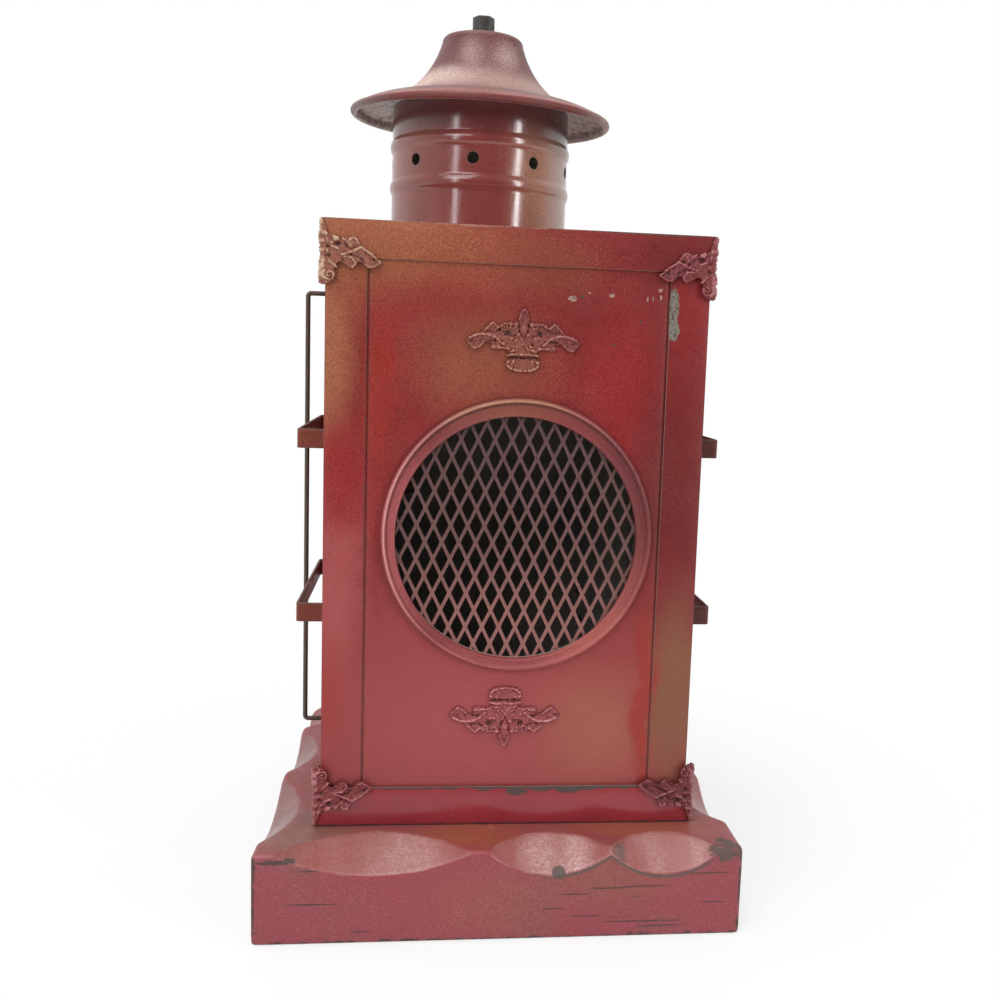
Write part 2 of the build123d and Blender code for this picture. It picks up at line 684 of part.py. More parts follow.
# Hinges: the fixed leaf carries the two outer knuckles, the moving leaf the middle one
barrel_half = 1.5 * hinge_knuckle
middle_half = hinge_knuckle / 2
outer_knuckle = barrel_half - middle_half - hinge_axial_slip
outer_middle = (barrel_half + middle_half + hinge_axial_slip) / 2
for level_name, level in zip(("lower", "upper"), hinge_levels):
    with BuildPart() as fixed_leaf:
        with BuildSketch(Plane((hinge_x, hinge_y, level))):
            Circle(hinge_barrel_radius)
        extrude(amount=barrel_half, both=True)
        with Locations((hinge_x, body_back, level)):
            Box(hinge_leaf_width, sheet, 2 * barrel_half, align=(Align.MIN, Align.MIN, Align.CENTER))
        with Locations((hinge_x, hinge_y, level)):
            Box(
                2 * hinge_leaf_notch,
                2 * hinge_lift + 2 * hinge_barrel_radius,
                hinge_knuckle + 2 * hinge_axial_slip,
                mode=Mode.SUBTRACT,
            )
            Cylinder(hinge_pin_radius + pin_slip, 2 * barrel_half, mode=Mode.SUBTRACT)
        for step in (-leaf_rivet_spread, leaf_rivet_spread):
            with Locations(facing_back(hinge_x + leaf_rivet_setback, body_back + sheet, level + step)):
                Hole(rivet_radius + rivet_slip, depth=2 * sheet)
    keep(fixed_leaf, f"{level_name}_fixed_leaf")
    with BuildPart() as moving_leaf:
        with Locations((hinge_x, door_back, level)):
            Box(hinge_leaf_width, sheet, 2 * barrel_half, align=(Align.MAX, Align.MIN, Align.CENTER))
        for step in (-outer_middle, outer_middle):
            with Locations((hinge_x, door_back, level + step)):
                Box(
                    2 * hinge_leaf_notch,
                    4 * sheet,
                    outer_knuckle + 2 * hinge_axial_slip,
                    mode=Mode.SUBTRACT,
                )
        with BuildSketch(Plane((hinge_x, hinge_y, level))):
            Circle(hinge_barrel_radius)
        extrude(amount=middle_half, both=True)
        with Locations((hinge_x, hinge_y, level)):
            Cylinder(hinge_pin_radius + pin_slip, 2 * barrel_half, mode=Mode.SUBTRACT)
        for step in (-leaf_rivet_spread, leaf_rivet_spread):
            with Locations(facing_back(hinge_x - leaf_rivet_setback, door_back + sheet, level + step)):
                Hole(rivet_radius + rivet_slip, depth=2 * sheet)
    keep(moving_leaf, f"{level_name}_moving_leaf")

with BuildPart() as hinge_pins:
    for level in hinge_levels:
        with Locations((hinge_x, hinge_y, level)):
            Cylinder(hinge_pin_radius, 2 * barrel_half)
        for end in (-1, 1):
            with Locations((hinge_x, hinge_y, level + end * (barrel_half + hinge_pin_head / 2))):
                Cylinder(2 * hinge_pin_radius, hinge_pin_head)
keep(hinge_pins, "hinge_pins")


# Rivets along Y: a head outside, a shank through the sheets and a tail inside
def rivet_along_y(x, z, outside, inside):
    with Locations(facing_back(x, inside, z)):
        Cylinder(rivet_radius, outside - inside, align=(Align.CENTER, Align.CENTER, Align.MIN))
        Cylinder(rivet_head_radius, rivet_tail, align=(Align.CENTER, Align.CENTER, Align.MAX))
    with Locations(facing_back(x, outside, z)):
        Cylinder(rivet_head_radius, rivet_head, align=(Align.CENTER, Align.CENTER, Align.MIN))


with BuildPart() as post_leaf_rivets:
    for level in hinge_levels:
        for step in (-leaf_rivet_spread, leaf_rivet_spread):
            rivet_x = hinge_x + leaf_rivet_setback
            rivet_along_y(rivet_x, level + step, body_back + sheet, wall_back - sheet)
keep(post_leaf_rivets, "post_leaf_rivets")

with BuildPart() as door_leaf_rivets:
    for level in hinge_levels:
        for step in (-leaf_rivet_spread, leaf_rivet_spread):
            rivet_x = hinge_x - leaf_rivet_setback
            rivet_along_y(rivet_x, level + step, door_back + sheet, door_back - door_sheet)
keep(door_leaf_rivets, "door_leaf_rivets")

# Door knob: turned head outside, stem through the door, clenched tail inside
with BuildPart() as door_knob:
    with Locations(facing_back(knob_x, door_back, latch_z)):
        Cylinder(knob_radius, knob_height, align=(Align.CENTER, Align.CENTER, Align.MIN))
    fillet(door_knob.edges().sort_by(Axis.Y)[-1], radius=knob_height / 3)
    with Locations(facing_back(knob_x, door_back, latch_z)):
        Cylinder(knob_stem_radius, door_sheet, align=(Align.CENTER, Align.CENTER, Align.MAX))
    with Locations(facing_back(knob_x, door_back - door_sheet, latch_z)):
        Cylinder(knob_tail_radius, rivet_tail, align=(Align.CENTER, Align.CENTER, Align.MAX))
keep(door_knob, "door_knob")

# Turn-button latch: it hangs unlatched and swings up across the door's edge
latch_x = body_left + latch_inset
latch_foot = body_back + latch_axial_slip
latch_face = latch_foot + latch_boss + latch_thickness
with BuildPart() as latch_button:
    with BuildSketch(facing_back(latch_x, latch_foot, latch_z)):
        Circle(latch_boss_radius)
    extrude(amount=latch_boss)
    bar_middle = (latch_x, latch_foot + latch_boss, latch_z)
    with BuildSketch(Plane(origin=bar_middle, x_dir=(-1, 0, 0), z_dir=(0, 1, 0))):
        with Locations((0, (latch_tail - latch_reach) / 2)):
            SlotOverall(latch_reach + latch_tail, 2 * latch_half_width, rotation=90)
    extrude(amount=latch_thickness)
    with Locations(facing_back(latch_x, latch_face, latch_z)):
        Hole(latch_rivet_radius + rivet_slip, depth=2 * (latch_boss + latch_thickness))
keep(latch_button, "latch_button")

with BuildPart() as latch_rivet:
    with Locations(facing_back(latch_x, wall_back - sheet, latch_z)):
        Cylinder(
            latch_rivet_radius,
            latch_face + latch_axial_slip - wall_back + sheet,
            align=(Align.CENTER, Align.CENTER, Align.MIN),
        )
        Cylinder(latch_rivet_head_radius, rivet_tail, align=(Align.CENTER, Align.CENTER, Align.MAX))
    with Locations(facing_back(latch_x, latch_face + latch_axial_slip, latch_z)):
        Cylinder(latch_rivet_head_radius, latch_rivet_head, align=(Align.CENTER, Align.CENTER, Align.MIN))
keep(latch_rivet, "latch_rivet")

# Candle dish on the floor
with BuildPart() as candle_dish:
    with BuildSketch(Plane((0, body_setback, floor_top))):
        Circle(dish_radius)
    extrude(amount=dish_height)
    with BuildSketch(Plane((0, body_setback, floor_top + sheet))):
        Circle(dish_radius - sheet)
    extrude(amount=dish_height, mode=Mode.SUBTRACT)
keep(candle_dish, "candle_dish")

# Screws through the floor into the base
with BuildPart() as base_screws:
    with Locations((0, body_setback, floor_top)):
        with GridLocations(screw_columns, screw_rows, 2, 2):
            Cylinder(screw_radius, screw_length, align=(Align.CENTER, Align.CENTER, Align.MAX))
            Cylinder(screw_head_radius, screw_head, align=(Align.CENTER, Align.CENTER, Align.MIN))
keep(base_screws, "base_screws")
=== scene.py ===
import json
import math

import bmesh
import bpy
from mathutils import Matrix, Vector, kdtree, noise
from mathutils.bvhtree import BVHTree


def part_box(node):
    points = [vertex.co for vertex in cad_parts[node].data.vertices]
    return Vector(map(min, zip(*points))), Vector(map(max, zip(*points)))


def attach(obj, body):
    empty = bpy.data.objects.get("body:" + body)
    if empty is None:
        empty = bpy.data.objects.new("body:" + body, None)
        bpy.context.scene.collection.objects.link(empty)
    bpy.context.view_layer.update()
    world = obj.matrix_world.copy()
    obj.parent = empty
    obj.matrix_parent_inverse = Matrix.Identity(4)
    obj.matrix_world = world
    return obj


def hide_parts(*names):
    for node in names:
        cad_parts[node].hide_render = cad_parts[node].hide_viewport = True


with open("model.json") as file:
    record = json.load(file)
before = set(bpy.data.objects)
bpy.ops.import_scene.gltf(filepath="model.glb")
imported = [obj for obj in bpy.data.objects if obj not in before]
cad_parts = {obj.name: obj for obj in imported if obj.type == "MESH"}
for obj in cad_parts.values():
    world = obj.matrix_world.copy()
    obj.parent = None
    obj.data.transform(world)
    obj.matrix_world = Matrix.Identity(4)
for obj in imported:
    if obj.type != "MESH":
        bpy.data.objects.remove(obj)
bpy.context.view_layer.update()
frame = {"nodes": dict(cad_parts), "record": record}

nodes = frame["nodes"]
bodyOf = {}
for bodyName, members in frame["record"]["behaviour"]["bodies"].items():
    for member in members:
        bodyOf[member] = bodyName
scene = bpy.context.scene
mm = 0.001
capLow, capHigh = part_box("cap")
chimneyAxis = ((capLow.x + capHigh.x) / 2, (capLow.y + capHigh.y) / 2)
print("frame loaded with", len(nodes), "nodes")


# Viewpoint of the photograph
viewpoint = {
    "lens": 40.563,
    "shift": -0.06288,
    "place": (-0.033482, -0.480993, 0.215695),
    "right": (0.992433, -0.117400, 0.035978),
    "up": (-0.020600, 0.129667, 0.991344),
    "forward": (0.121049, 0.984583, -0.126267),
}
cameraData = bpy.data.cameras.new("viewpoint")
cameraData.lens = viewpoint["lens"]
cameraData.shift_x = viewpoint["shift"]
cameraData.sensor_width = 36
camera = bpy.data.objects.new("viewpoint", cameraData)
turn = Matrix((viewpoint["right"], viewpoint["up"], -Vector(viewpoint["forward"]))).transposed()
camera.matrix_world = Matrix.Translation(viewpoint["place"]) @ turn.to_4x4()
scene.collection.objects.link(camera)
scene.camera = camera
scene.view_settings.view_transform = "Standard"
print("viewpoint set")


# Shader helpers
def plug(tree, socket, value):
    if isinstance(value, bpy.types.NodeSocket):
        tree.links.new(value, socket)
    else:
        socket.default_value = value


def addNode(tree, kind, inputs=None, **settings):
    made = tree.nodes.new(kind)
    for key, value in settings.items():
        setattr(made, key, value)
    for key, value in (inputs or {}).items():
        plug(tree, made.inputs[key], value)
    return made


def calc(tree, operation, first, second=0.0, clamp=False):
    made = addNode(tree, "ShaderNodeMath", {0: first, 1: second}, operation=operation, use_clamp=clamp)
    return made.outputs[0]


def times(tree, first, second):
    return calc(tree, "MULTIPLY", first, second)


def larger(tree, first, second):
    return calc(tree, "MAXIMUM", first, second)


def vecCalc(tree, operation, first, second=(0, 0, 0), output="Vector"):
    made = addNode(tree, "ShaderNodeVectorMath", {0: first, 1: second}, operation=operation)
    return made.outputs[output]


def ramp(tree, value, low, high, outLow=0.0, outHigh=1.0):
    sockets = {"Value": value, "From Min": low, "From Max": high, "To Min": outLow, "To Max": outHigh}
    return addNode(tree, "ShaderNodeMapRange", sockets, interpolation_type="SMOOTHSTEP").outputs["Result"]


def mixColour(tree, factor, first, second, way="MIX"):
    made = addNode(tree, "ShaderNodeMix", {0: factor}, data_type="RGBA", blend_type=way)
    for index, value in ((6, first), (7, second)):
        isLinked = isinstance(value, bpy.types.NodeSocket)
        plug(tree, made.inputs[index], value if isLinked else (*value, 1))
    return made.outputs[2]


def noiseOf(tree, coords, scale, detail=2.0, rough=0.5, output="Fac"):
    sockets = {"Vector": coords, "Scale": scale, "Detail": detail, "Roughness": rough}
    return addNode(tree, "ShaderNodeTexNoise", sockets).outputs[output]


def frameCoords(tree):
    return addNode(tree, "ShaderNodeTexCoord").outputs["Object"]


def newGroup(name, inputs, outputs):
    tree = bpy.data.node_groups.new(name, "ShaderNodeTree")
    for label, kind, value in inputs:
        socket = tree.interface.new_socket(label, in_out="INPUT", socket_type="NodeSocket" + kind)
        socket.default_value = value
    for label, kind in outputs:
        tree.interface.new_socket(label, in_out="OUTPUT", socket_type="NodeSocket" + kind)
    return tree, tree.nodes.new("NodeGroupInput").outputs, tree.nodes.new("NodeGroupOutput").inputs


def useGroup(tree, group, inputs=None):
    return addNode(tree, "ShaderNodeGroup", inputs, node_tree=group).outputs


def heightOf(tree, place):
    return addNode(tree, "ShaderNodeSeparateXYZ", {0: place}).outputs["Z"]


def ownNormal(tree):
    # in the piece's own frame, so that it doesn't change with the pose
    return addNode(tree, "ShaderNodeTexCoord").outputs["Normal"]


def vertexValue(tree, name):
    return addNode(tree, "ShaderNodeAttribute", attribute_name=name).outputs["Fac"]


# Cloud patch: a soft cloud of another colour round a point, used for overspray and for painted light and
# shade
def makeCloudMask():
    tree, given, out = newGroup(
        "cloudMask",
        [("Centre", "Vector", (0, 0, 0)), ("Reach", "Vector", (0.01, 0.01, 0.01)),
         ("Feather", "Float", 0.5), ("Wobble", "Float", 0.01), ("Scale", "Float", 60.0)],
        [("Mask", "Float")])
    coords = frameCoords(tree)
    cloud = noiseOf(tree, coords, given["Scale"], 3, 0.6, "Color")
    centred = vecCalc(tree, "SUBTRACT", cloud, (0.5, 0.5, 0.5))
    push = addNode(tree, "ShaderNodeVectorMath", {0: centred, "Scale": given["Wobble"]}, operation="SCALE")
    moved = vecCalc(tree, "ADD", coords, push.outputs[0])
    ratio = vecCalc(tree, "DIVIDE", vecCalc(tree, "SUBTRACT", moved, given["Centre"]), given["Reach"])
    away = vecCalc(tree, "LENGTH", ratio, output="Value")
    low = calc(tree, "SUBTRACT", 1.0, given["Feather"])
    high = calc(tree, "ADD", 1.0, given["Feather"])
    tree.links.new(ramp(tree, away, low, high, 1.0, 0.0), out["Mask"])
    return tree


# Paint grain: pale and dark flecks of dry spray, and the height of the orange peel
def makePaintGrain():
    tree, given, out = newGroup(
        "paintGrain",
        [("Scale", "Float", 1.0)],
        [("Bright", "Float"), ("Dark", "Float"), ("Height", "Float")])
    coords = frameCoords(tree)
    fine = noiseOf(tree, coords, times(tree, given["Scale"], 1900.0), 1, 0.5)
    medium = noiseOf(tree, coords, times(tree, given["Scale"], 1500.0), 1, 0.5)
    cover = noiseOf(tree, coords, times(tree, given["Scale"], 45.0), 2, 0.5)
    bright = times(tree, ramp(tree, fine, 0.5, 0.66), ramp(tree, cover, 0.3, 0.7, 0.5, 1.0))
    tree.links.new(bright, out["Bright"])
    tree.links.new(ramp(tree, medium, 0.46, 0.32), out["Dark"])
    tree.links.new(calc(tree, "ADD", times(tree, fine, 0.5), medium), out["Height"])
    return tree


# Edge wear: follows the distance to the nearest sharp edge, broken up by noise
def makeEdgeWear():
    tree, given, out = newGroup(
        "edgeWear",
        [("Reach", "Float", 1.0), ("Breakup", "Float", 0.6), ("Scale", "Float", 260.0)],
        [("Mask", "Float")])
    coords = frameCoords(tree)
    ratio = calc(tree, "DIVIDE", vertexValue(tree, "edgeMm"), given["Reach"])
    rough = noiseOf(tree, coords, given["Scale"], 4, 0.65)
    centred = calc(tree, "SUBTRACT", rough, 0.5)
    shift = times(tree, centred, times(tree, given["Breakup"], 4.0))
    tree.links.new(ramp(tree, calc(tree, "ADD", ratio, shift), 0.75, 0.45), out["Mask"])
    return tree


# Dust: settles on faces that look up
def makeDustFall():
    tree, given, out = newGroup(
        "dustFall",
        [("Steepness", "Float", 0.3), ("Scale", "Float", 120.0)],
        [("Mask", "Float")])
    coords = frameCoords(tree)
    up = heightOf(tree, ownNormal(tree))
    cloud = noiseOf(tree, coords, given["Scale"], 4, 0.65)
    lying = ramp(tree, up, given["Steepness"], 1.0)
    tree.links.new(times(tree, lying, ramp(tree, cloud, 0.3, 0.75, 0.3, 1.0)), out["Mask"])
    return tree


# Soot: faces that look into the candle chamber
def makeInsideSoot():
    tree, given, out = newGroup("insideSoot", [("Heart", "Vector", (0, 0.01, 0.148))], [("Mask", "Float")])
    outward = vecCalc(tree, "NORMALIZE", vecCalc(tree, "SUBTRACT", frameCoords(tree), given["Heart"]))
    along = vecCalc(tree, "DOT_PRODUCT", ownNormal(tree), outward, "Value")
    tree.links.new(ramp(tree, along, -0.05, -0.25), out["Mask"])
    return tree


# Thin dark lines that follow a stretched noise: wood cracks, scratches and runs
def makeThinLines():
    tree, given, out = newGroup(
        "thinLines",
        [("Stretch", "Vector", (20, 20, 600)), ("Width", "Float", 0.012),
         ("Cover", "Float", 0.55), ("CoverScale", "Float", 30.0)],
        [("Mask", "Float")])
    coords = frameCoords(tree)
    drawn = noiseOf(tree, vecCalc(tree, "MULTIPLY", coords, given["Stretch"]), 1.0, 2, 0.55)
    off = calc(tree, "ABSOLUTE", calc(tree, "SUBTRACT", drawn, 0.5))
    line = ramp(tree, off, given["Width"], times(tree, given["Width"], 0.3))
    cover = noiseOf(tree, coords, given["CoverScale"], 2, 0.5)
    shown = ramp(tree, cover, given["Cover"], calc(tree, "ADD", given["Cover"], 0.06))
    tree.links.new(times(tree, line, shown), out["Mask"])
    return tree


cloudMask = makeCloudMask()
paintGrain = makePaintGrain()
edgeWear = makeEdgeWear()
dustFall = makeDustFall()
insideSoot = makeInsideSoot()
thinLines = makeThinLines()
print("shader groups built")


def newMaterial(name):
    material = bpy.data.materials.new(name)
    material.use_nodes = True
    tree = material.node_tree
    tree.nodes.clear()
    shader = addNode(tree, "ShaderNodeBsdfPrincipled")
    result = addNode(tree, "ShaderNodeOutputMaterial")
    tree.links.new(shader.outputs[0], result.inputs["Surface"])
    return material, tree, shader


def patchMask(tree, patch):
    sockets = {
        "Centre": [value * mm for value in patch["at"]],
        "Reach": [value * mm for value in patch["reach"]],
        "Feather": patch.get("feather", 0.6),
        "Wobble": patch.get("wobble", 12.0) * mm,
        "Scale": patch.get("scale", 60.0),
    }
    return times(tree, useGroup(tree, cloudMask, sockets)["Mask"], patch["strength"])


def layPatches(tree, colour, patches):
    for patch in patches:
        colour = mixColour(tree, patchMask(tree, patch), colour, paint[patch["colour"]])
    return colour


def closeShader(tree, shader, colour, rough, height, strength, distance):
    bump = addNode(tree, "ShaderNodeBump", {"Height": height, "Strength": strength, "Distance": distance})
    tree.links.new(colour, shader.inputs["Base Color"])
    tree.links.new(rough, shader.inputs["Roughness"])
    tree.links.new(bump.outputs[0], shader.inputs["Normal"])


# A cloud of another colour, used for overspray and for painted light and shade: centre and reach in
# millimetres
def cloudPatch(colour, at, reach, strength, **edge):
    return {"colour": colour, "at": at, "reach": reach, "strength": strength, **edge}


# A place where the paint has come off
def chipped(at, reach, wobble, scale, feather=0.12, strength=0.95, **tone):
    return {"at": at, "reach": reach, "wobble": wobble, "scale": scale, "feather": feather,
            "strength": strength, **tone}


# Paints of the lantern, as linear colours
paint = {
    "red": (0.24, 0.027, 0.025),
    "deepRed": (0.19, 0.024, 0.023),
    "vivid": (0.29, 0.025, 0.017),
    "crimson": (0.25, 0.02, 0.022),
    "brown": (0.26, 0.075, 0.042),
    "gold": (0.31, 0.1, 0.05),
    "olive": (0.2, 0.085, 0.045),
    "tan": (0.31, 0.11, 0.065),
    "dark": (0.09, 0.016, 0.018),
    "orange": (0.29, 0.07, 0.034),
    "rose": (0.335, 0.068, 0.07),
    "maroon": (0.12, 0.017, 0.018),
    "primer": (0.07, 0.045, 0.038),
    "bareTin": (0.2, 0.18, 0.15),
    "chalk": (0.4, 0.24, 0.2),
    "rust": (0.06, 0.04, 0.034),
    "dust": (0.34, 0.24, 0.2),
    "beige": (0.42, 0.265, 0.225),
    "pewter": (0.2, 0.175, 0.16),
    "sheen": (0.56, 0.35, 0.335),
    "umber": (0.17, 0.085, 0.075),
    "soot": (0.34, 0.32, 0.29),
    "ember": (0.24, 0.05, 0.026),
    "shade": (0.06, 0.026, 0.026),
    "greyWood": (0.09, 0.066, 0.058),
    "sand": (0.44, 0.215, 0.14),
    "smoke": (0.045, 0.04, 0.038),
    "clay": (0.32, 0.13, 0.115),
    "plum": (0.1, 0.045, 0.05),
    "blush": (0.62, 0.43, 0.37),
    "coral": (0.38, 0.09, 0.075),
}

palerFleck = (1.5, 2.1, 2.1)  # flecks multiply the paint that they lie on
darkerFleck = (0.55, 0.45, 0.45)

# The body's clouds of paint and of painted light, and its chips, in millimetres
bodyClouds = [
    # pink over the lower front: painted reflection of the white floor
    cloudPatch("rose", (-8, -61, 70), (74, 15, 46), 0.85, feather=0.9),
    cloudPatch("maroon", (68, -61, 256), (30, 20, 14), 0.7, feather=0.8),
    cloudPatch("gold", (-54, -61, 256), (40, 30, 17), 0.85, feather=0.7),
    cloudPatch("gold", (-71, -58, 220), (10, 30, 40), 0.9),
    cloudPatch("rose", (-66, -61, 128), (9, 15, 28), 0.9),
    cloudPatch("brown", (-14, -61, 213), (22, 15, 17), 0.8, feather=0.8),
    cloudPatch("brown", (0, -61, 249), (26, 15, 11), 0.5),
    # a pale line along the top pan's folded top edge: painted highlight
    cloudPatch("chalk", (-12, -62, 262.4), (50, 3, 0.7), 0.5, wobble=2, scale=200),
    cloudPatch("vivid", (-51, -61, 202), (5, 15, 26), 0.65),
    cloudPatch("crimson", (-65, -61, 172), (9, 15, 18), 0.85),
    cloudPatch("crimson", (39, -61, 200), (14, 15, 32), 0.8),
    cloudPatch("crimson", (65, -61, 218), (9, 15, 32), 0.8),
    cloudPatch("maroon", (62, -61, 165), (14, 20, 50), 0.75, feather=0.8),
    cloudPatch("olive", (65, -61, 86), (10, 15, 34), 0.85),
    cloudPatch("tan", (34, -61, 72), (17, 15, 20), 0.65, feather=0.8),
    cloudPatch("vivid", (53, -61, 82), (4, 15, 32), 0.8),
    cloudPatch("brown", (30, 20, 262), (45, 40, 10), 0.7),
    cloudPatch("brown", (-72, 30, 120), (10, 40, 50), 0.8),
    cloudPatch("vivid", (-72, -30, 80), (10, 30, 34), 0.7),
    cloudPatch("brown", (72, 10, 200), (10, 44, 40), 0.8),
    cloudPatch("gold", (72, 40, 90), (10, 34, 44), 0.6),
    cloudPatch("brown", (-30, 81, 210), (40, 10, 40), 0.75),
    cloudPatch("gold", (40, 81, 90), (34, 10, 44), 0.55),
]
bodyChips = [
    chipped((57.4, -61.5, 233.4), (1.9, 3, 9.4), 2.4, 450),
    chipped((57.8, -61.5, 227.0), (2.1, 3, 4.2), 2.0, 600),
    chipped((19.0, -61, 237.1), (1.7, 3, 0.9), 1.8, 700, tone="chalk"),
    chipped((22.7, -61, 237.8), (0.8, 3, 0.7), 1.4, 700, tone="primer"),
    chipped((25.3, -61, 239.3), (0.5, 3, 0.4), 0.8, 700, tone="chalk"),
    chipped((33.7, -61, 238.9), (1.0, 3, 0.8), 1.2, 700, tone="chalk"),
    chipped((47.3, -61, 238.0), (0.3, 3, 0.9), 0.6, 800, tone="chalk"),
    chipped((49.4, -61, 238.3), (0.3, 3, 0.9), 0.6, 800, tone="chalk"),
    chipped((52.3, -61, 238.7), (0.45, 3, 0.9), 0.8, 800, tone="chalk"),
    chipped((52.2, -61, 241.4), (0.8, 3, 0.7), 1.2, 800, tone="chalk"),
    chipped((45.1, -61, 229.8), (0.45, 3, 0.45), 0.5, 800, tone="primer"),
    chipped((35.0, -61, 220.8), (1.2, 3, 0.35), 1.2, 800, tone="primer"),
    chipped((48, -62, 262), (24, 3, 0.6), 2.0, 420, strength=0.7, tone="greyWood"),
]
panChips = [
    chipped((24, -62.8, 50.0), (31, 3, 2.0), 4.6, 230, tone="rust"),
    chipped((4, -62.8, 47.8), (4.4, 3, 1.7), 3.2, 300, tone="rust"),
    chipped((-9, -62.8, 49.0), (3.2, 3, 1.2), 2.6, 420, tone="rust"),
    chipped((24, -62.8, 48.6), (5, 3, 1.7), 3.4, 330, tone="rust"),
]


def paintedTin(name, look):
    material, tree, shader = newMaterial(name)
    coords = frameCoords(tree)
    drift = ramp(tree, noiseOf(tree, coords, 28.0, 3, 0.55), 0.35, 0.68)
    colour = mixColour(tree, drift, look["main"], look["second"])
    colour = layPatches(tree, colour, look.get("spray", ()))
    grain = useGroup(tree, paintGrain)
    dryness = ramp(tree, heightOf(tree, coords), 0.09, 0.19, 0.3, 1.0)  # smoother lower down
    pale = times(tree, times(tree, grain["Bright"], look["fleck"]), dryness)
    dim = times(tree, times(tree, grain["Dark"], look.get("darkFleck", 0.5)), dryness)
    colour = mixColour(tree, pale, colour, look["fleckTint"], "MULTIPLY")
    colour = mixColour(tree, dim, colour, darkerFleck, "MULTIPLY")
    wear = {"Reach": look["wear"], "Breakup": look.get("wearBreakup", 0.55),
            "Scale": look.get("wearScale", 260.0)}
    worn = useGroup(tree, edgeWear, wear)["Mask"]
    lines = {"Stretch": (260, 260, 30), "Width": 0.008, "Cover": 0.6, "CoverScale": 55.0}
    runs = useGroup(tree, thinLines, lines)["Mask"]
    bare = larger(tree, times(tree, worn, look["wearStrength"]), times(tree, runs, 0.25))
    colour = mixColour(tree, bare, colour, look["wornColour"])
    mottle = ramp(tree, noiseOf(tree, coords, 900.0, 3, 0.6), 0.48, 0.64)
    for patch in look.get("chips", ()):
        chip = patchMask(tree, patch)
        tone = mixColour(tree, mottle, paint[patch.get("tone", "bareTin")], paint["primer"])
        colour = mixColour(tree, chip, colour, tone)
        bare = larger(tree, bare, chip)
    dust = useGroup(tree, dustFall, {"Steepness": look.get("dustFrom", 0.3)})["Mask"]
    dust = times(tree, dust, look["dust"])
    colour = mixColour(tree, dust, colour, paint["dust"])
    soot = useGroup(tree, insideSoot, {"Heart": look.get("heart", (0, 0.01, 0.148))})["Mask"]
    soot = times(tree, soot, look.get("soot", 0.97))
    sooty = ramp(tree, noiseOf(tree, coords, 330.0, 4, 0.65), 0.45, 0.65)
    sootTones = look.get("sootTones", (paint["soot"], paint["soot"]))
    sootColour = mixColour(tree, sooty, *sootTones)
    colour = mixColour(tree, soot, colour, sootColour)
    smoothest, roughest = look["rough"] - look["roughSpread"], look["rough"] + look["roughSpread"]
    rough = ramp(tree, noiseOf(tree, coords, 75.0, 3, 0.6), 0.3, 0.7, smoothest, roughest)
    rough = calc(tree, "ADD", rough, times(tree, grain["Bright"], look.get("grainRough", 0.12)))
    rough = calc(tree, "ADD", rough, times(tree, bare, 0.25))
    rough = calc(tree, "ADD", rough, times(tree, larger(tree, dust, soot), 0.5), clamp=True)
    shader.inputs["Specular IOR Level"].default_value = look["specular"]
    height = calc(tree, "SUBTRACT", times(tree, grain["Height"], 0.5), bare)
    closeShader(tree, shader, colour, rough, height, look.get("bump", 0.25), 0.12 * mm)
    return material


bodyLook = {
    "main": paint["red"], "second": paint["deepRed"], "spray": bodyClouds, "chips": bodyChips,
    "fleck": 0.8, "fleckTint": (1.6, 2.0, 1.8), "wear": 0.4, "specular": 0.25,
    "wearStrength": 0.6, "wornColour": (0.09, 0.062, 0.038), "rough": 0.38, "roughSpread": 0.07, "dust": 0.4,
}
bodyTin = paintedTin("bodyTin", bodyLook)
# the pan's red is lighter and pinker than the body's, partly as a painted reflection of the white floor
panTin = paintedTin("panTin", {
    **bodyLook, "main": (0.29, 0.03, 0.04), "second": (0.25, 0.025, 0.034), "spray": [], "chips": panChips,
    "fleck": 0.3, "rough": 0.2, "roughSpread": 0.05, "bump": 0.12, "specular": 0.5, "dust": 0.1,
    "wear": 1.0, "wearStrength": 0.95, "wearBreakup": 0.3, "wornColour": (0.05, 0.03, 0.028),
})
chimneyTin = paintedTin("chimneyTin", {
    **bodyLook, "spray": [
        # tan paint towards the right, and a painted reflection of the bright background along the right edge
        cloudPatch("sand", (13, -14, 283), (14, 26, 26), 0.95, feather=0.7),
        cloudPatch("beige", (20, 2, 284), (6, 26, 24), 0.8, feather=0.6, wobble=4),
        # dark under the brim at the left and the right: painted shadow of the cap
        cloudPatch("smoke", (-48, -2, 313), (22, 32, 12), 1.0, wobble=4),
        cloudPatch("smoke", (22, -2, 312), (20, 32, 13), 1.0, wobble=4),
        cloudPatch("brown", (-45, -5, 285), (14, 24, 34), 0.5),
        # dark under the brim on the front: painted shadow of the cap
        cloudPatch("dark", (-13, -27, 312), (44, 44, 9), 0.85, feather=0.7),
    ],
    "main": (0.27, 0.05, 0.042), "second": (0.235, 0.042, 0.036),
    "chips": [], "fleck": 0.35, "rough": 0.17, "roughSpread": 0.02, "grainRough": 0.03, "dust": 0.3,
    "dustFrom": 0.35, "heart": (*chimneyAxis, 0.29), "bump": 0.12, "specular": 1.0,
})
bracketTin = paintedTin("bracketTin", {
    **bodyLook, "chips": [], "main": (0.17, 0.04, 0.03), "second": (0.12, 0.04, 0.032), "wear": 0.7,
    "spray": [
        cloudPatch("ember", (-76, -60, 148), (14, 30, 70), 0.8),
        cloudPatch("shade", (76, -60, 148), (14, 30, 70), 0.8),
    ],
    "wornColour": (0.1, 0.085, 0.07), "fleck": 0.5, "rough": 0.42, "soot": 0.0, "dust": 0.4,
})
fittingTin = paintedTin("fittingTin", {
    **bodyLook, "spray": bodyClouds[-2:], "chips": [], "wear": 0.6, "wornColour": (0.3, 0.26, 0.23),
    "soot": 0.0, "rough": 0.34,
})
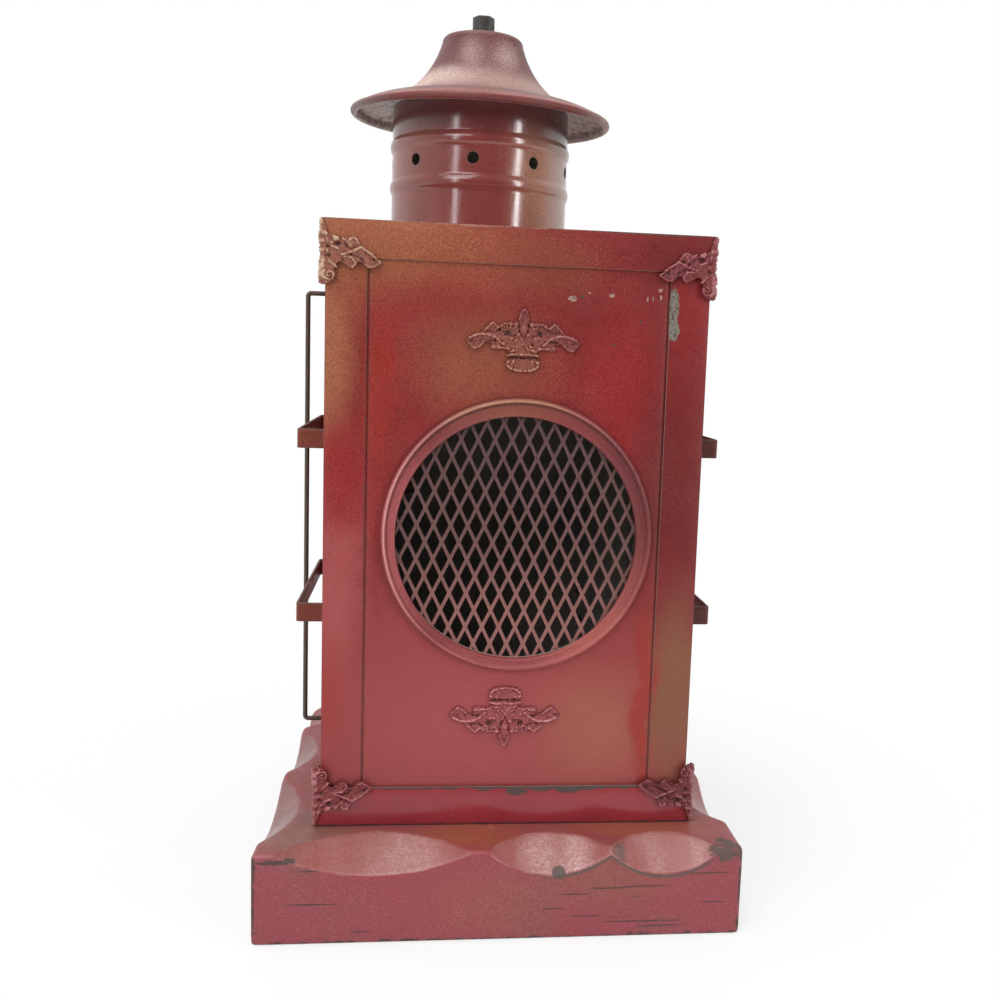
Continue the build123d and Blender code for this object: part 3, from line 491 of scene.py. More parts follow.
capTin = paintedTin("capTin", {
    **bodyLook, "chips": [], "main": (0.17, 0.066, 0.065), "second": (0.14, 0.05, 0.05),
    "spray": [
        # the flare paler: dust, and painted light where it faces up
        cloudPatch("beige", (-13.5, 10, 323), (70, 70, 4.6), 0.75, feather=0.9, wobble=3),
        cloudPatch("deepRed", (-13.5, 10, 312.0), (70, 70, 3.4), 0.9, feather=0.4, wobble=2),
        cloudPatch("umber", (-46, 10, 316.1), (46, 80, 1.5), 0.85, feather=0.5, wobble=1, scale=300),
        cloudPatch("umber", (16, 10, 314.9), (40, 80, 1.5), 0.85, feather=0.5, wobble=1, scale=300),
        # thin pale bands along the brim's bead: painted highlight
        cloudPatch("clay", (-46, 10, 314.0), (46, 80, 0.9), 0.9, feather=0.7, wobble=0.5, scale=300),
        cloudPatch("clay", (16, 10, 312.9), (40, 80, 0.9), 0.9, feather=0.7, wobble=0.5, scale=300),
        # painted highlight on the flare's left side and two painted glints on the crown
        cloudPatch("blush", (-42, -14, 325), (18, 24, 5), 0.8, feather=0.7, wobble=4),
        cloudPatch("blush", (-19, -8, 335), (3.4, 10, 5.5), 0.25, feather=0.9, wobble=7, scale=900),
        cloudPatch("blush", (-4.5, -8, 335), (4.4, 10, 5.5), 0.45, feather=0.9, wobble=7, scale=900),
        cloudPatch("pewter", (-66, 10, 311), (18, 44, 7), 0.6, feather=0.5, wobble=7, scale=200),
        cloudPatch("dust", (40, 10, 311), (20, 44, 7), 0.85, feather=0.5, wobble=7, scale=200),
    ],
    "fleck": 0.6, "fleckTint": (1.7, 2.2, 2.3), "darkFleck": 0.7, "wear": 1.2, "wearScale": 200.0,
    "wearStrength": 0.25, "wornColour": (0.13, 0.115, 0.1), "rough": 0.42, "roughSpread": 0.08,
    "dust": 0.12, "dustFrom": 0.05, "heart": (*chimneyAxis, 0.3), "soot": 1.0,
    "sootTones": ((0.72, 0.71, 0.68), (0.36, 0.345, 0.33)), "bump": 0.35,
})
print("paints mixed")


# Stamped ornaments: painted highlight along the ridges, painted shade in the hollows
def stampedMetal(name, look):
    material, tree, shader = newMaterial(name)
    grain = useGroup(tree, paintGrain, {"Scale": 1.4})
    uneven = times(tree, calc(tree, "SUBTRACT", grain["Height"], 0.75), 0.25)
    height = calc(tree, "ADD", vertexValue(tree, "relief"), uneven)
    colour = look["main"]
    colour = layPatches(tree, colour, look["spray"])
    # painted shade in the hollows and painted highlight along the ridges, both from the relief
    colour = mixColour(tree, ramp(tree, height, 0.46, 0.16), colour, look["hollowShade"], "MULTIPLY")
    colour = mixColour(tree, ramp(tree, height, 0.6, 0.96), colour, look["ridge"], "MULTIPLY")
    colour = mixColour(tree, times(tree, grain["Bright"], 0.5), colour, palerFleck, "MULTIPLY")
    shader.inputs["Specular IOR Level"].default_value = 0.4
    rough = ramp(tree, height, 0.1, 0.9, 0.6, 0.36)
    closeShader(tree, shader, colour, rough, grain["Height"], 0.3, 0.15 * mm)
    return material


ornamentMetal = stampedMetal("ornamentMetal", {
    "hollowShade": (0.28, 0.21, 0.22), "main": (0.2, 0.034, 0.035), "ridge": (1.8, 3.6, 3.7),
    "spray": [
        cloudPatch("tan", (-73, -60, 254), (30, 26, 20), 0.75),
        cloudPatch("brown", (-6, -62, 212), (24, 10, 18), 0.6),
        cloudPatch("maroon", (70, -62, 50), (22, 26, 17), 0.7),
        cloudPatch("rose", (-4, -62, 84), (40, 10, 18), 0.6),
    ],
})
bezelTin = stampedMetal("bezelTin", {
    "hollowShade": (0.24, 0.35, 0.32), "main": (0.2, 0.034, 0.034), "ridge": (1.9, 4.2, 3.8),
    "spray": [
        cloudPatch("rose", (-50, -62, 140), (16, 10, 50), 0.9),
        cloudPatch("rose", (0, -62, 98), (40, 10, 12), 0.6),
        cloudPatch("coral", (38, -62, 116), (24, 10, 28), 0.85),
        cloudPatch("maroon", (45, -62, 165), (14, 10, 40), 0.7),
        cloudPatch("brown", (-10, -62, 198), (30, 10, 8), 0.5),
    ],
})


# Painted wood of the base: grain cracks, pale gouges with painted highlights, rims rubbed pale and partly
# painted as highlights, and dark worn corners
def paintedWood(name, look):
    material, tree, shader = newMaterial(name)
    coords = frameCoords(tree)
    drift = ramp(tree, noiseOf(tree, coords, 22.0, 3, 0.6), 0.4, 0.66)
    colour = mixColour(tree, drift, look["main"], look["second"])
    colour = layPatches(tree, colour, look["spray"])
    inGouge = vertexValue(tree, "gougeMm")  # below zero outside
    gouge = ramp(tree, inGouge, -0.4, 1.2)
    chatter = noiseOf(tree, coords, 160.0, 3, 0.6)
    paler = ramp(tree, chatter, 0.3, 0.75, 0.1, 0.5)
    gougeColour = mixColour(tree, paler, look["gouge"], look["gougeSecond"])
    # the clouds in the gouges, their painted highlights among them, come in specks
    speckle = ramp(tree, noiseOf(tree, coords, 700.0, 2, 0.6), 0.4, 0.6, 0.55, 1.0)
    for patch in look["gougeClouds"]:
        speckled = times(tree, patchMask(tree, patch), speckle)
        gougeColour = mixColour(tree, speckled, gougeColour, paint[patch["colour"]])
    colour = mixColour(tree, times(tree, gouge, 0.9), colour, gougeColour)
    grain = useGroup(tree, paintGrain, {"Scale": 0.9})
    colour = mixColour(tree, times(tree, grain["Bright"], 0.5), colour, palerFleck, "MULTIPLY")
    colour = mixColour(tree, times(tree, grain["Dark"], 0.4), colour, darkerFleck, "MULTIPLY")
    dust = useGroup(tree, dustFall, {"Steepness": 0.75, "Scale": 70.0})["Mask"]
    dust = times(tree, dust, look["dust"])
    colour = mixColour(tree, dust, colour, look["dustColour"])
    # pale along the gouge rims: rubbed paint, and partly a painted highlight where the crisp rims catch the
    # light
    rim = ramp(tree, calc(tree, "ABSOLUTE", inGouge), 0.6, 0.15)
    paleRim = times(tree, rim, ramp(tree, noiseOf(tree, coords, 90.0, 4, 0.6), 0.46, 0.66))
    colour = mixColour(tree, times(tree, paleRim, 0.4), colour, look["paleRim"])
    corner = useGroup(tree, edgeWear, {"Reach": look["cornerWear"], "Breakup": 0.6, "Scale": 150.0})["Mask"]
    split = 0.0
    for patch in look["splits"]:
        split = larger(tree, split, patchMask(tree, patch))
    cracks = 0.0
    for kind in look["fineCracks"]:
        lines = {"Stretch": kind["stretch"], "Width": kind["width"], "CoverScale": kind["coverScale"],
                 "Cover": ramp(tree, split, 0.0, 1.0, *kind["cover"])}
        cracks = larger(tree, cracks, useGroup(tree, thinLines, lines)["Mask"])
    upright = ramp(tree, heightOf(tree, ownNormal(tree)), 0.6, 0.3)
    cracks = times(tree, cracks, upright)
    for middle, half, level in look["cracks"]:
        crack = chipped((middle, -87.5, level), (half, 3, 0.26), 0.6, 200, feather=0.3, strength=0.9)
        cracks = larger(tree, cracks, patchMask(tree, crack))
    cracks = times(tree, cracks, calc(tree, "SUBTRACT", 1.0, gouge))
    # the grey border under the lower rims
    border = ramp(tree, calc(tree, "ABSOLUTE", calc(tree, "ADD", inGouge, 0.8)), 1.0, 0.3)
    border = times(tree, times(tree, border, patchMask(tree, look["border"])), upright)
    colour = mixColour(tree, border, colour, paint["greyWood"])
    bare = larger(tree, times(tree, corner, 0.85), cracks)
    colour = mixColour(tree, bare, colour, look["bareWood"])
    for patch in look["chips"]:
        chip = patchMask(tree, patch)
        colour = mixColour(tree, chip, colour, paint[patch.get("tone", "rust")])
        bare = larger(tree, bare, chip)
    rough = ramp(tree, chatter, 0.3, 0.7, 0.36, 0.5)
    rough = calc(tree, "SUBTRACT", rough, times(tree, gouge, 0.1))
    rough = calc(tree, "ADD", rough, times(tree, larger(tree, bare, dust), 0.35), clamp=True)
    height = calc(tree, "SUBTRACT", times(tree, grain["Height"], 0.45), times(tree, bare, 1.6))
    closeShader(tree, shader, colour, rough, height, 0.35, 0.2 * mm)
    return material


baseWood = paintedWood("baseWood", {
    "main": (0.262, 0.041, 0.052), "second": (0.23, 0.05, 0.053), "gouge": (0.28, 0.075, 0.07),
    "gougeSecond": (0.36, 0.145, 0.13), "dust": 0.45, "dustColour": (0.22, 0.07, 0.042),
    "border": {"at": (48, -87, 26), "reach": (34, 8, 7), "strength": 0.85, "feather": 0.3, "wobble": 5},
    # middle, half length and height of the long cracks in the front
    "cracks": [(38.3, 8.0, 19.5), (51.4, 9.3, 20.0), (16.6, 3.9, 11.8), (29.7, 6.4, 8.7),
               (50.0, 16.5, 6.2), (58.3, 8.3, 4.3), (25.4, 5.8, 17.4), (75.3, 8.3, 24.7),
               (-71.9, 10.7, 15.5), (-72.9, 4.4, 28.1), (-53.6, 4.0, 4.6), (77.5, 4.9, 13.1)],
    "fineCracks": [
        {"stretch": (14, 14, 620), "width": 0.010, "coverScale": 26.0, "cover": (0.62, 0.46)},
        {"stretch": (60, 60, 1500), "width": 0.016, "coverScale": 46.0, "cover": (0.66, 0.4)},
    ],
    "paleRim": (0.5, 0.3, 0.27), "cornerWear": 2.2, "bareWood": (0.05, 0.035, 0.03),
    "gougeClouds": [
        # painted highlights in the gouges
        *(cloudPatch("sheen", (x, y, 31), (wide, 12, 12), strength, feather=0.9) for x, y, wide, strength in (
            (-38, -80, 12, 0.75), (12, -82, 6, 0.8), (26.5, -83, 5, 0.8),
            (55.5, -82, 4, 0.45), (73, -81, 4, 0.5))),
        # the left gouges darker: painted shade
        cloudPatch("umber", (-88, -10, 30), (12, 90, 14), 0.9, feather=0.5),
        cloudPatch("greyWood", (41.2, -83, 31), (2.6, 8, 6), 0.9, feather=0.5, wobble=3, scale=200),
    ],
    "spray": [
        cloudPatch("orange", (-13, -71, 34.5), (16, 12, 8), 0.9),
        cloudPatch("orange", (50, -67, 34.5), (24, 8, 8), 0.8),
        cloudPatch("umber", (-76, -66, 34.5), (16, 24, 8), 0.7),
        cloudPatch("brown", (-10, -87, 14), (24, 10, 14), 0.3),
        cloudPatch("brown", (40, -87, 22), (22, 10, 9), 0.35),
    ],
    "splits": [
        {"at": (44, -87.5, 14), "reach": (34, 4, 12), "strength": 0.5, "feather": 0.6, "wobble": 8},
        {"at": (-92, -87.5, 18), "reach": (4, 4, 17), "strength": 0.9, "feather": 0.5, "wobble": 3},
    ],
    "chips": [
        chipped((-84.5, -86, 31.6), (7, 4, 0.9), 1.5, 320, feather=0.15, strength=0.9),
        chipped((18.6, -86.5, 25.4), (2.6, 5, 1.9), 1.0, 420, feather=0.1, strength=0.9, tone="greyWood"),
        chipped((82, -84, 32.0), (6, 7, 3.4), 7, 300, feather=0.1, strength=0.9, tone="greyWood"),
        chipped((-61.8, -87.5, 0.6), (2.0, 3, 0.8), 1.0, 420, feather=0.1, strength=0.95),
    ],
})


# Steel that has gone dark: bolt, rivets, screws, pins and the guard wires
def agedSteel(name, look):
    material, tree, shader = newMaterial(name)
    coords = frameCoords(tree)
    rust = ramp(tree, noiseOf(tree, coords, look["rustScale"], 5, 0.65), 0.42, 0.66)
    grain = useGroup(tree, paintGrain, {"Scale": 1.2})
    colour = mixColour(tree, times(tree, rust, look["rust"]), look["main"], look["rustColour"])
    colour = layPatches(tree, colour, look.get("spray", ()))
    colour = mixColour(tree, times(tree, grain["Bright"], 0.4), colour, look["fleckColour"])
    bare = useGroup(tree, edgeWear, {"Reach": 0.5, "Breakup": 0.5, "Scale": 500.0})["Mask"]
    colour = mixColour(tree, times(tree, bare, 0.5), colour, look["fleckColour"])
    shader.inputs["Metallic"].default_value = look["metal"]
    rough = ramp(tree, rust, 0.0, 1.0, look["rough"], look["rough"] + 0.25)
    closeShader(tree, shader, colour, rough, grain["Height"], 0.35, 0.1 * mm)
    return material


darkSteel = agedSteel("darkSteel", {
    "main": (0.05, 0.047, 0.044), "rust": 0.5, "rustColour": (0.07, 0.045, 0.035), "rustScale": 300.0,
    "fleckColour": (0.15, 0.135, 0.12), "metal": 0.35, "rough": 0.42,
})
guardWire = agedSteel("guardWire", {
    "main": (0.075, 0.06, 0.042), "rust": 0.7, "rustColour": (0.11, 0.055, 0.038), "rustScale": 120.0,
    "fleckColour": (0.17, 0.135, 0.095), "metal": 0.2, "rough": 0.4,
})
meshSteel = agedSteel("meshSteel", {
    "main": (0.15, 0.075, 0.07), "rust": 0.6, "rustColour": (0.13, 0.05, 0.045), "rustScale": 90.0,
    "fleckColour": (0.27, 0.16, 0.145), "metal": 0.15, "rough": 0.38,
    "spray": [
        cloudPatch("clay", (0, -60, 108), (60, 20, 24), 0.85, feather=0.8),
        cloudPatch("plum", (0, -60, 190), (60, 20, 22), 0.7, feather=0.8),
    ],
})
print("materials built")


# Mesh helpers
def limit(value):
    return max(0.0, min(1.0, value))


# Hand-made sheet is never quite flat. One sway moves every piece at a place, so that they keep together
swayLook = {"broad": (21.0, 0.22), "narrow": (55.0, 0.06), "endsAt": 0.05, "fade": 0.03, "seed": 7}
noise.seed_set(swayLook["seed"])  # noise_vector starts from the clock otherwise


def waver(place):
    fade = limit((swayLook["endsAt"] - place.y) / swayLook["fade"])
    (broadScale, broad), (narrowScale, narrow) = swayLook["broad"], swayLook["narrow"]
    sway = noise.noise_vector(place * broadScale) * broad + noise.noise_vector(place * narrowScale) * narrow
    return Vector((0, sway.y, 0)) * fade * mm


def cadCopy(nodeName):
    bm = bmesh.new()
    bm.from_mesh(nodes[nodeName].data)
    bmesh.ops.remove_doubles(bm, verts=bm.verts[:], dist=2e-6)
    return bm


def sharpEdges(bm, angle):
    found = []
    for edge in bm.edges:
        if len(edge.link_faces) == 2 and edge.calc_face_angle(0.0) > math.radians(angle):
            found.append(edge)
    return found


def edgeTree(edges, extra=(), spacing=0.8):
    points = list(extra)
    for edge in edges:
        start, end = edge.verts[0].co, edge.verts[1].co
        count = max(1, int((end - start).length / (spacing * mm)))
        for index in range(count + 1):
            points.append(start.lerp(end, index / count))
    tree = kdtree.KDTree(max(1, len(points)))
    for index, point in enumerate(points):
        tree.insert(point, index)
    tree.balance()
    return tree if points else None


def cutGrid(bm, axis, step):
    places = [vert.co[axis] for vert in bm.verts]
    low, high = min(places), max(places)
    normal = Vector((0, 0, 0))
    normal[axis] = 1.0
    for index in range(1, int((high - low) / step)):
        place = normal * (low + index * step)
        geometry = bm.verts[:] + bm.edges[:] + bm.faces[:]
        bmesh.ops.bisect_plane(bm, geom=geometry, plane_co=place, plane_no=normal, dist=1e-7)


def measureEdges(bm, tree):
    layer = bm.verts.layers.float.new("edgeMm")
    for vert in bm.verts:
        vert[layer] = tree.find(vert.co)[2] / mm if tree else 9.0


def bridge(bm, first, second):
    for index in range(len(first)):
        after = (index + 1) % len(first)
        bm.faces.new((first[index], first[after], second[after], second[index]))


def pieceName(nodeName):
    first, *rest = nodeName.split("_")
    return first + "".join(word.capitalize() for word in rest)


def finishPiece(bm, nodeName, material, smoothAngle=35.0):
    for face in bm.faces:
        face.smooth = True
    mesh = bpy.data.meshes.new(pieceName(nodeName))
    bm.to_mesh(mesh)
    bm.free()
    mesh.set_sharp_from_angle(angle=math.radians(smoothAngle))
    piece = bpy.data.objects.new(pieceName(nodeName), mesh)
    scene.collection.objects.link(piece)
    mesh.materials.append(material)
    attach(piece, bodyOf[nodeName])
    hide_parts(nodeName)


def sideAway(spot, low, high):
    return min(spot.x - low.x, high.x - spot.x, spot.y - low.y, high.y - spot.y)


def softSheet(nodeName, material, look):
    bm = cadCopy(nodeName)
    bmesh.ops.dissolve_limit(bm, angle_limit=math.radians(0.5), verts=bm.verts[:], edges=bm.edges[:])
    edges = sharpEdges(bm, 40)
    tree = edgeTree(edges)
    convex = [edge for edge in edges if edge.is_convex]
    if convex:
        bmesh.ops.bevel(bm, geom=convex, offset=look["soften"] * mm, offset_type="OFFSET", segments=2,
                        profile=0.5, affect="EDGES", clamp_overlap=True)
    for axis, step in look.get("grid", ()):
        cutGrid(bm, axis, step * mm)
    measureEdges(bm, tree)
    if look.get("lipSlope"):
        # the top of the upturned edge falls inwards
        low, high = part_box(nodeName)
        for vert in bm.verts:
            inset = sideAway(vert.co, low, high)
            if inset > 0.42 * mm and vert.co.z > high.z - 0.2 * mm:
                vert.co.z -= look["lipSlope"] * mm
    if look.get("sway"):
        for vert in bm.verts:
            vert.co += waver(vert.co)
    finishPiece(bm, nodeName, material)


def dentBy(bm, look):
    leanX, leanY = look.get("lean", (0, 0))
    for vert in bm.verts:
        away = Vector((vert.co.x - chimneyAxis[0], vert.co.y - chimneyAxis[1], 0))
        if away.length > 1e-6:
            sag = away.x * leanX + away.y * leanY
            vert.co += away.normalized() * noise.noise(vert.co * look["dentScale"]) * look["dent"] * mm
            vert.co.z += sag * limit(away.length / (14 * mm) - 0.5)  # the middle stays upright


def roundForm(nodeName, material, look):
    bm = cadCopy(nodeName)
    tree = edgeTree(sharpEdges(bm, 40), look.get("extraEdge", ()))
    for axis, step in look.get("grid", ()):
        cutGrid(bm, axis, step * mm)
    measureEdges(bm, tree)
    if look.get("dent"):
        dentBy(bm, look)
    finishPiece(bm, nodeName, material)


# Tin sheets of the body
sheetLook = {"soften": 0.15, "grid": ((0, 6.0), (1, 6.0), (2, 6.0)), "sway": True}
softSheet("top_pan", bodyTin, {**sheetLook, "soften": 0.3})
for sheetName in ("front_panel", "left_wall", "right_wall", "back_wall",
                  "front_left_post", "front_right_post", "rear_left_post", "rear_right_post"):
    softSheet(sheetName, bodyTin, sheetLook)
softSheet("bottom_pan", panTin, {**sheetLook, "soften": 0.3, "lipSlope": 0.45})
for sheetName in ("left_upper_bracket", "left_lower_bracket", "right_upper_bracket", "right_lower_bracket"):
    softSheet(sheetName, bracketTin, {"soften": 0.25, "grid": ((0, 1.6), (1, 4.0), (2, 1.2)), "sway": True})
softSheet("door", bodyTin, {"soften": 0.3, "grid": ((0, 8.0), (2, 8.0))})
for fittingName in ("lower_fixed_leaf", "upper_fixed_leaf", "lower_moving_leaf", "upper_moving_leaf",
                    "latch_button"):
    softSheet(fittingName, fittingTin, {"soften": 0.25, "grid": ((0, 1.6), (2, 1.6))})
softSheet("chimney_bridge", chimneyTin, {"soften": 0.25})
print("sheets done")

# Turned and spun pieces
rimRadius = (capHigh.x - capLow.x) / 2
capRim = []
for index in range(360):
    around = math.radians(index)
    rimX = chimneyAxis[0] + rimRadius * math.cos(around)
    rimY = chimneyAxis[1] + rimRadius * math.sin(around)
    capRim.append(Vector((rimX, rimY, capLow.z + 1.2 * mm)))
roundForm("chimney", chimneyTin, {"grid": ((2, 1.5),), "dent": 0.14, "dentScale": 26.0})
# the brim hangs lower at the front and on the right
roundForm("cap", capTin, {"dent": 0.25, "dentScale": 30.0, "extraEdge": capRim, "lean": (-0.0134, 0.0241)})
roundForm("candle_dish", bodyTin, {})
roundForm("door_knob", fittingTin, {})
for steelName in ("cap_washer", "cap_spacer", "chimney_rivets", "post_leaf_rivets", "door_leaf_rivets",
                  "hinge_pins", "latch_rivet", "base_screws"):
    roundForm(steelName, darkSteel, {})
for steelName in ("cap_bolt", "cap_nut"):
    softSheet(steelName, darkSteel, {"soften": 0.35, "grid": ((2, 1.0),)})
for wireName in ("left_guard_wire", "right_guard_wire"):
    roundForm(wireName, guardWire, {"grid": ((2, 5.0),)})
print("round pieces done")


# Window bezel: turned ring with a bead at its outer edge and a rolled lip inside
bezelLook = {
    "segments": 192,
    # radius and height over the panel, the lip first
    "profile": [(45.6, 0.0), (45.6, 0.9), (45.7, 1.28), (46.0, 1.5), (46.4, 1.42), (46.8, 1.2),
                (47.4, 1.14), (48.2, 1.16), (48.9, 1.2), (49.15, 1.36), (49.3, 1.75), (49.65, 2.2),
                (50.2, 2.42), (50.75, 2.2), (51.15, 1.7), (51.28, 1.1), (51.3, 0.4), (51.3, 0.02)],
    # how far each point stands out, which sets painted shade in the creases and a painted highlight along
    # the bead
    "relief": (0.1, 0.2, 0.45, 0.72, 0.5, 0.4, 0.48, 0.48, 0.3, 0.14, 0.36, 0.62, 1.0, 0.62, 0.4, 0.14,
               0.05, 0.05),
    # the painted highlight and shade show most at the upper left, towards the light, and are nearer to the
    # plain value elsewhere
    "plain": 0.48, "litFrom": 2.2, "calm": 0.7,
    # the opening sits a little low in the ring, which is a little taller than it is wide
    "inset": (-0.4, -1.2), "insetFrom": 49.0, "insetOver": 3.0, "tall": 1.016,
}


def buildBezel():
    low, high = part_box("window_bezel")
    middle = (low + high) / 2
    bm = bmesh.new()
    layer = bm.verts.layers.float.new("relief")
    plain = bezelLook["plain"]
    insetX, insetZ = bezelLook["inset"]
    rings = []
    for index in range(bezelLook["segments"]):
        around = 2 * math.pi * index / bezelLook["segments"]
        # the bead's painted highlight and the creases' painted shade show fully towards the upper left
        paleRim = 1.0 - bezelLook["calm"] * (0.5 - 0.5 * math.cos(around - bezelLook["litFrom"]))
        ring = []
        for step, (reach, out) in enumerate(bezelLook["profile"]):
            inner = limit((bezelLook["insetFrom"] - reach) / bezelLook["insetOver"])
            across = reach * math.cos(around) + insetX * inner
            rise = reach * math.sin(around) * bezelLook["tall"] + insetZ * inner
            spot = Vector((middle.x + across * mm, high.y - out * mm, middle.z + rise * mm))
            vert = bm.verts.new(spot + waver(spot))
            vert[layer] = plain + (bezelLook["relief"][step] - plain) * paleRim
            ring.append(vert)
        rings.append(ring)
    for index, ring in enumerate(rings):
        bridge(bm, ring, rings[(index + 1) % len(rings)])
    bmesh.ops.recalc_face_normals(bm, faces=bm.faces[:])
    finishPiece(bm, "window_bezel", bezelTin, 50.0)


buildBezel()
print("bezel turned")


# Base block: close-meshed copy, rounded by wear, with its gouges and rims marked for the paint
baseLook = {
    "voxel": 0.8, "rough": 0.14, "edgeRound": 2.0, "rounds": 2, "gougesAbove": 0.018, "foot": 0.002,
    "softRounds": 7, "softAbove": 0.02, "softBehind": 0.004,  # rims away from the front are rounder
    "taper": 4.2, "taperFrom": -0.072, "taperOver": 0.02,  # the left side runs in towards the back
    "lump": (-5.9, -65.4, 2.3, 1.5),  # place, reach and height of a clot of paint at the tin's foot
    "slope": (0.2, 0.985),  # how far the faces of a gouge look up
}


def buildBase():
    bm = cadCopy("base_block")
    rims = []
    boxLow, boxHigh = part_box("base_block")
    corners = []
    turn = baseLook["edgeRound"] * mm
    leastSlope, mostSlope = baseLook["slope"]

    def isDug(spot, normal):
        # below the plain block with its rounded top edge
        side = sideAway(spot, boxLow, boxHigh)
        onRound = math.hypot(turn - min(side, turn), turn - min(boxHigh.z - spot.z, turn)) > turn - 0.12 * mm
        return leastSlope < normal.z < mostSlope and spot.z > baseLook["gougesAbove"] and not onRound

    for edge in bm.edges:
        if len(edge.link_faces) != 2:
            continue
        dug = [isDug(face.calc_center_median(), face.normal) for face in edge.link_faces]
        if dug[0] != dug[1] or (all(dug) and edge.calc_face_angle(0.0) > math.radians(14)):
            rims.append(edge)
    for x in (boxLow.x, boxHigh.x):
        for y in (boxLow.y, boxHigh.y):
            for index in range(40):
                corners.append(Vector((x, y, boxHigh.z * index / 39)))
    for index in range(240):
        spot = boxLow.lerp(boxHigh, index / 239)
        for x, y in ((spot.x, boxLow.y), (spot.x, boxHigh.y), (boxLow.x, spot.y), (boxHigh.x, spot.y)):
            corners.append(Vector((x, y, boxLow.z)))
    rimTree = edgeTree(rims, spacing=0.2)
    cornerTree = edgeTree([], corners)
    cadFaces = BVHTree.FromBMesh(bm)
    plain = bpy.data.meshes.new("basePlain")
    bm.to_mesh(plain)
    bm.free()
    holder = bpy.data.objects.new("basePlain", plain)
    scene.collection.objects.link(holder)
    remesh = holder.modifiers.new("closeMesh", "REMESH")
    remesh.mode = "VOXEL"
    remesh.voxel_size = baseLook["voxel"] * mm
    dense = bpy.data.meshes.new_from_object(holder.evaluated_get(bpy.context.evaluated_depsgraph_get()))
    bpy.data.objects.remove(holder)
    bm = bmesh.new()
    bm.from_mesh(dense)
    everyAxis = {"use_axis_x": True, "use_axis_y": True, "use_axis_z": True}
    for step in range(baseLook["rounds"]):
        bmesh.ops.smooth_vert(bm, verts=bm.verts[:], factor=0.5, **everyAxis)
    softFrom = boxLow.y + baseLook["softBehind"]
    soft = [vert for vert in bm.verts if vert.co.z > baseLook["softAbove"] and vert.co.y > softFrom]
    for step in range(baseLook["softRounds"]):
        bmesh.ops.smooth_vert(bm, verts=soft, factor=0.5, **everyAxis)
    bm.normal_update()
    gougeLayer = bm.verts.layers.float.new("gougeMm")
    edgeLayer = bm.verts.layers.float.new("edgeMm")
    for vert in bm.verts:
        place, normal, index, away = cadFaces.find_nearest(vert.co)
        vert[gougeLayer] = (1 if isDug(place, normal) else -1) * rimTree.find(place)[2] / mm
        vert[edgeLayer] = cornerTree.find(vert.co)[2] / mm
        if vert.co.z > baseLook["foot"]:
            grain = noise.noise(Vector((vert.co.x * 40, vert.co.y * 40, vert.co.z * 400)))
            lump = noise.noise(vert.co * 120)
            sink = (0.5 + 0.5 * grain) * 0.5 + (0.5 + 0.5 * lump) * 0.5
            vert.co -= vert.normal * sink * baseLook["rough"] * mm
        # the bottom edges stay square
        if vert.co.z < baseLook["foot"]:
            vert.co.z *= max(0.0, vert.co.z) / baseLook["foot"]
        depth = limit((vert.co.y - boxLow.y) / (boxHigh.y - boxLow.y))
        leftward = limit((baseLook["taperFrom"] - vert.co.x) / baseLook["taperOver"])
        vert.co.x += baseLook["taper"] * depth * leftward * mm
        lumpX, lumpY, lumpReach, lumpTall = baseLook["lump"]
        fromLump = math.hypot(vert.co.x / mm - lumpX, vert.co.y / mm - lumpY) / lumpReach
        if fromLump < 1 and vert.normal.z > 0.8:
            vert.co.z += lumpTall * (1 - fromLump) * (0.7 + 0.6 * noise.noise(vert.co * 900)) * mm
    finishPiece(bm, "base_block", baseWood, 60.0)


buildBase()
print("base carved")


# Window mesh: each strand is a ribbed bar between two crossings
meshLook = {
    "across": 6.37, "up": 13.02, "shift": (0.2, -3.0), "strand": 1.45, "thick": 1.0, "radius": 49.4,
    "trim": 0.25, "shortest": 0.6, "slim": 0.14,  # strands are cut at the radius and slimmer midway
    "ringInner": 47.4, "ringOuter": 50.0, "ringSteps": 120,
}


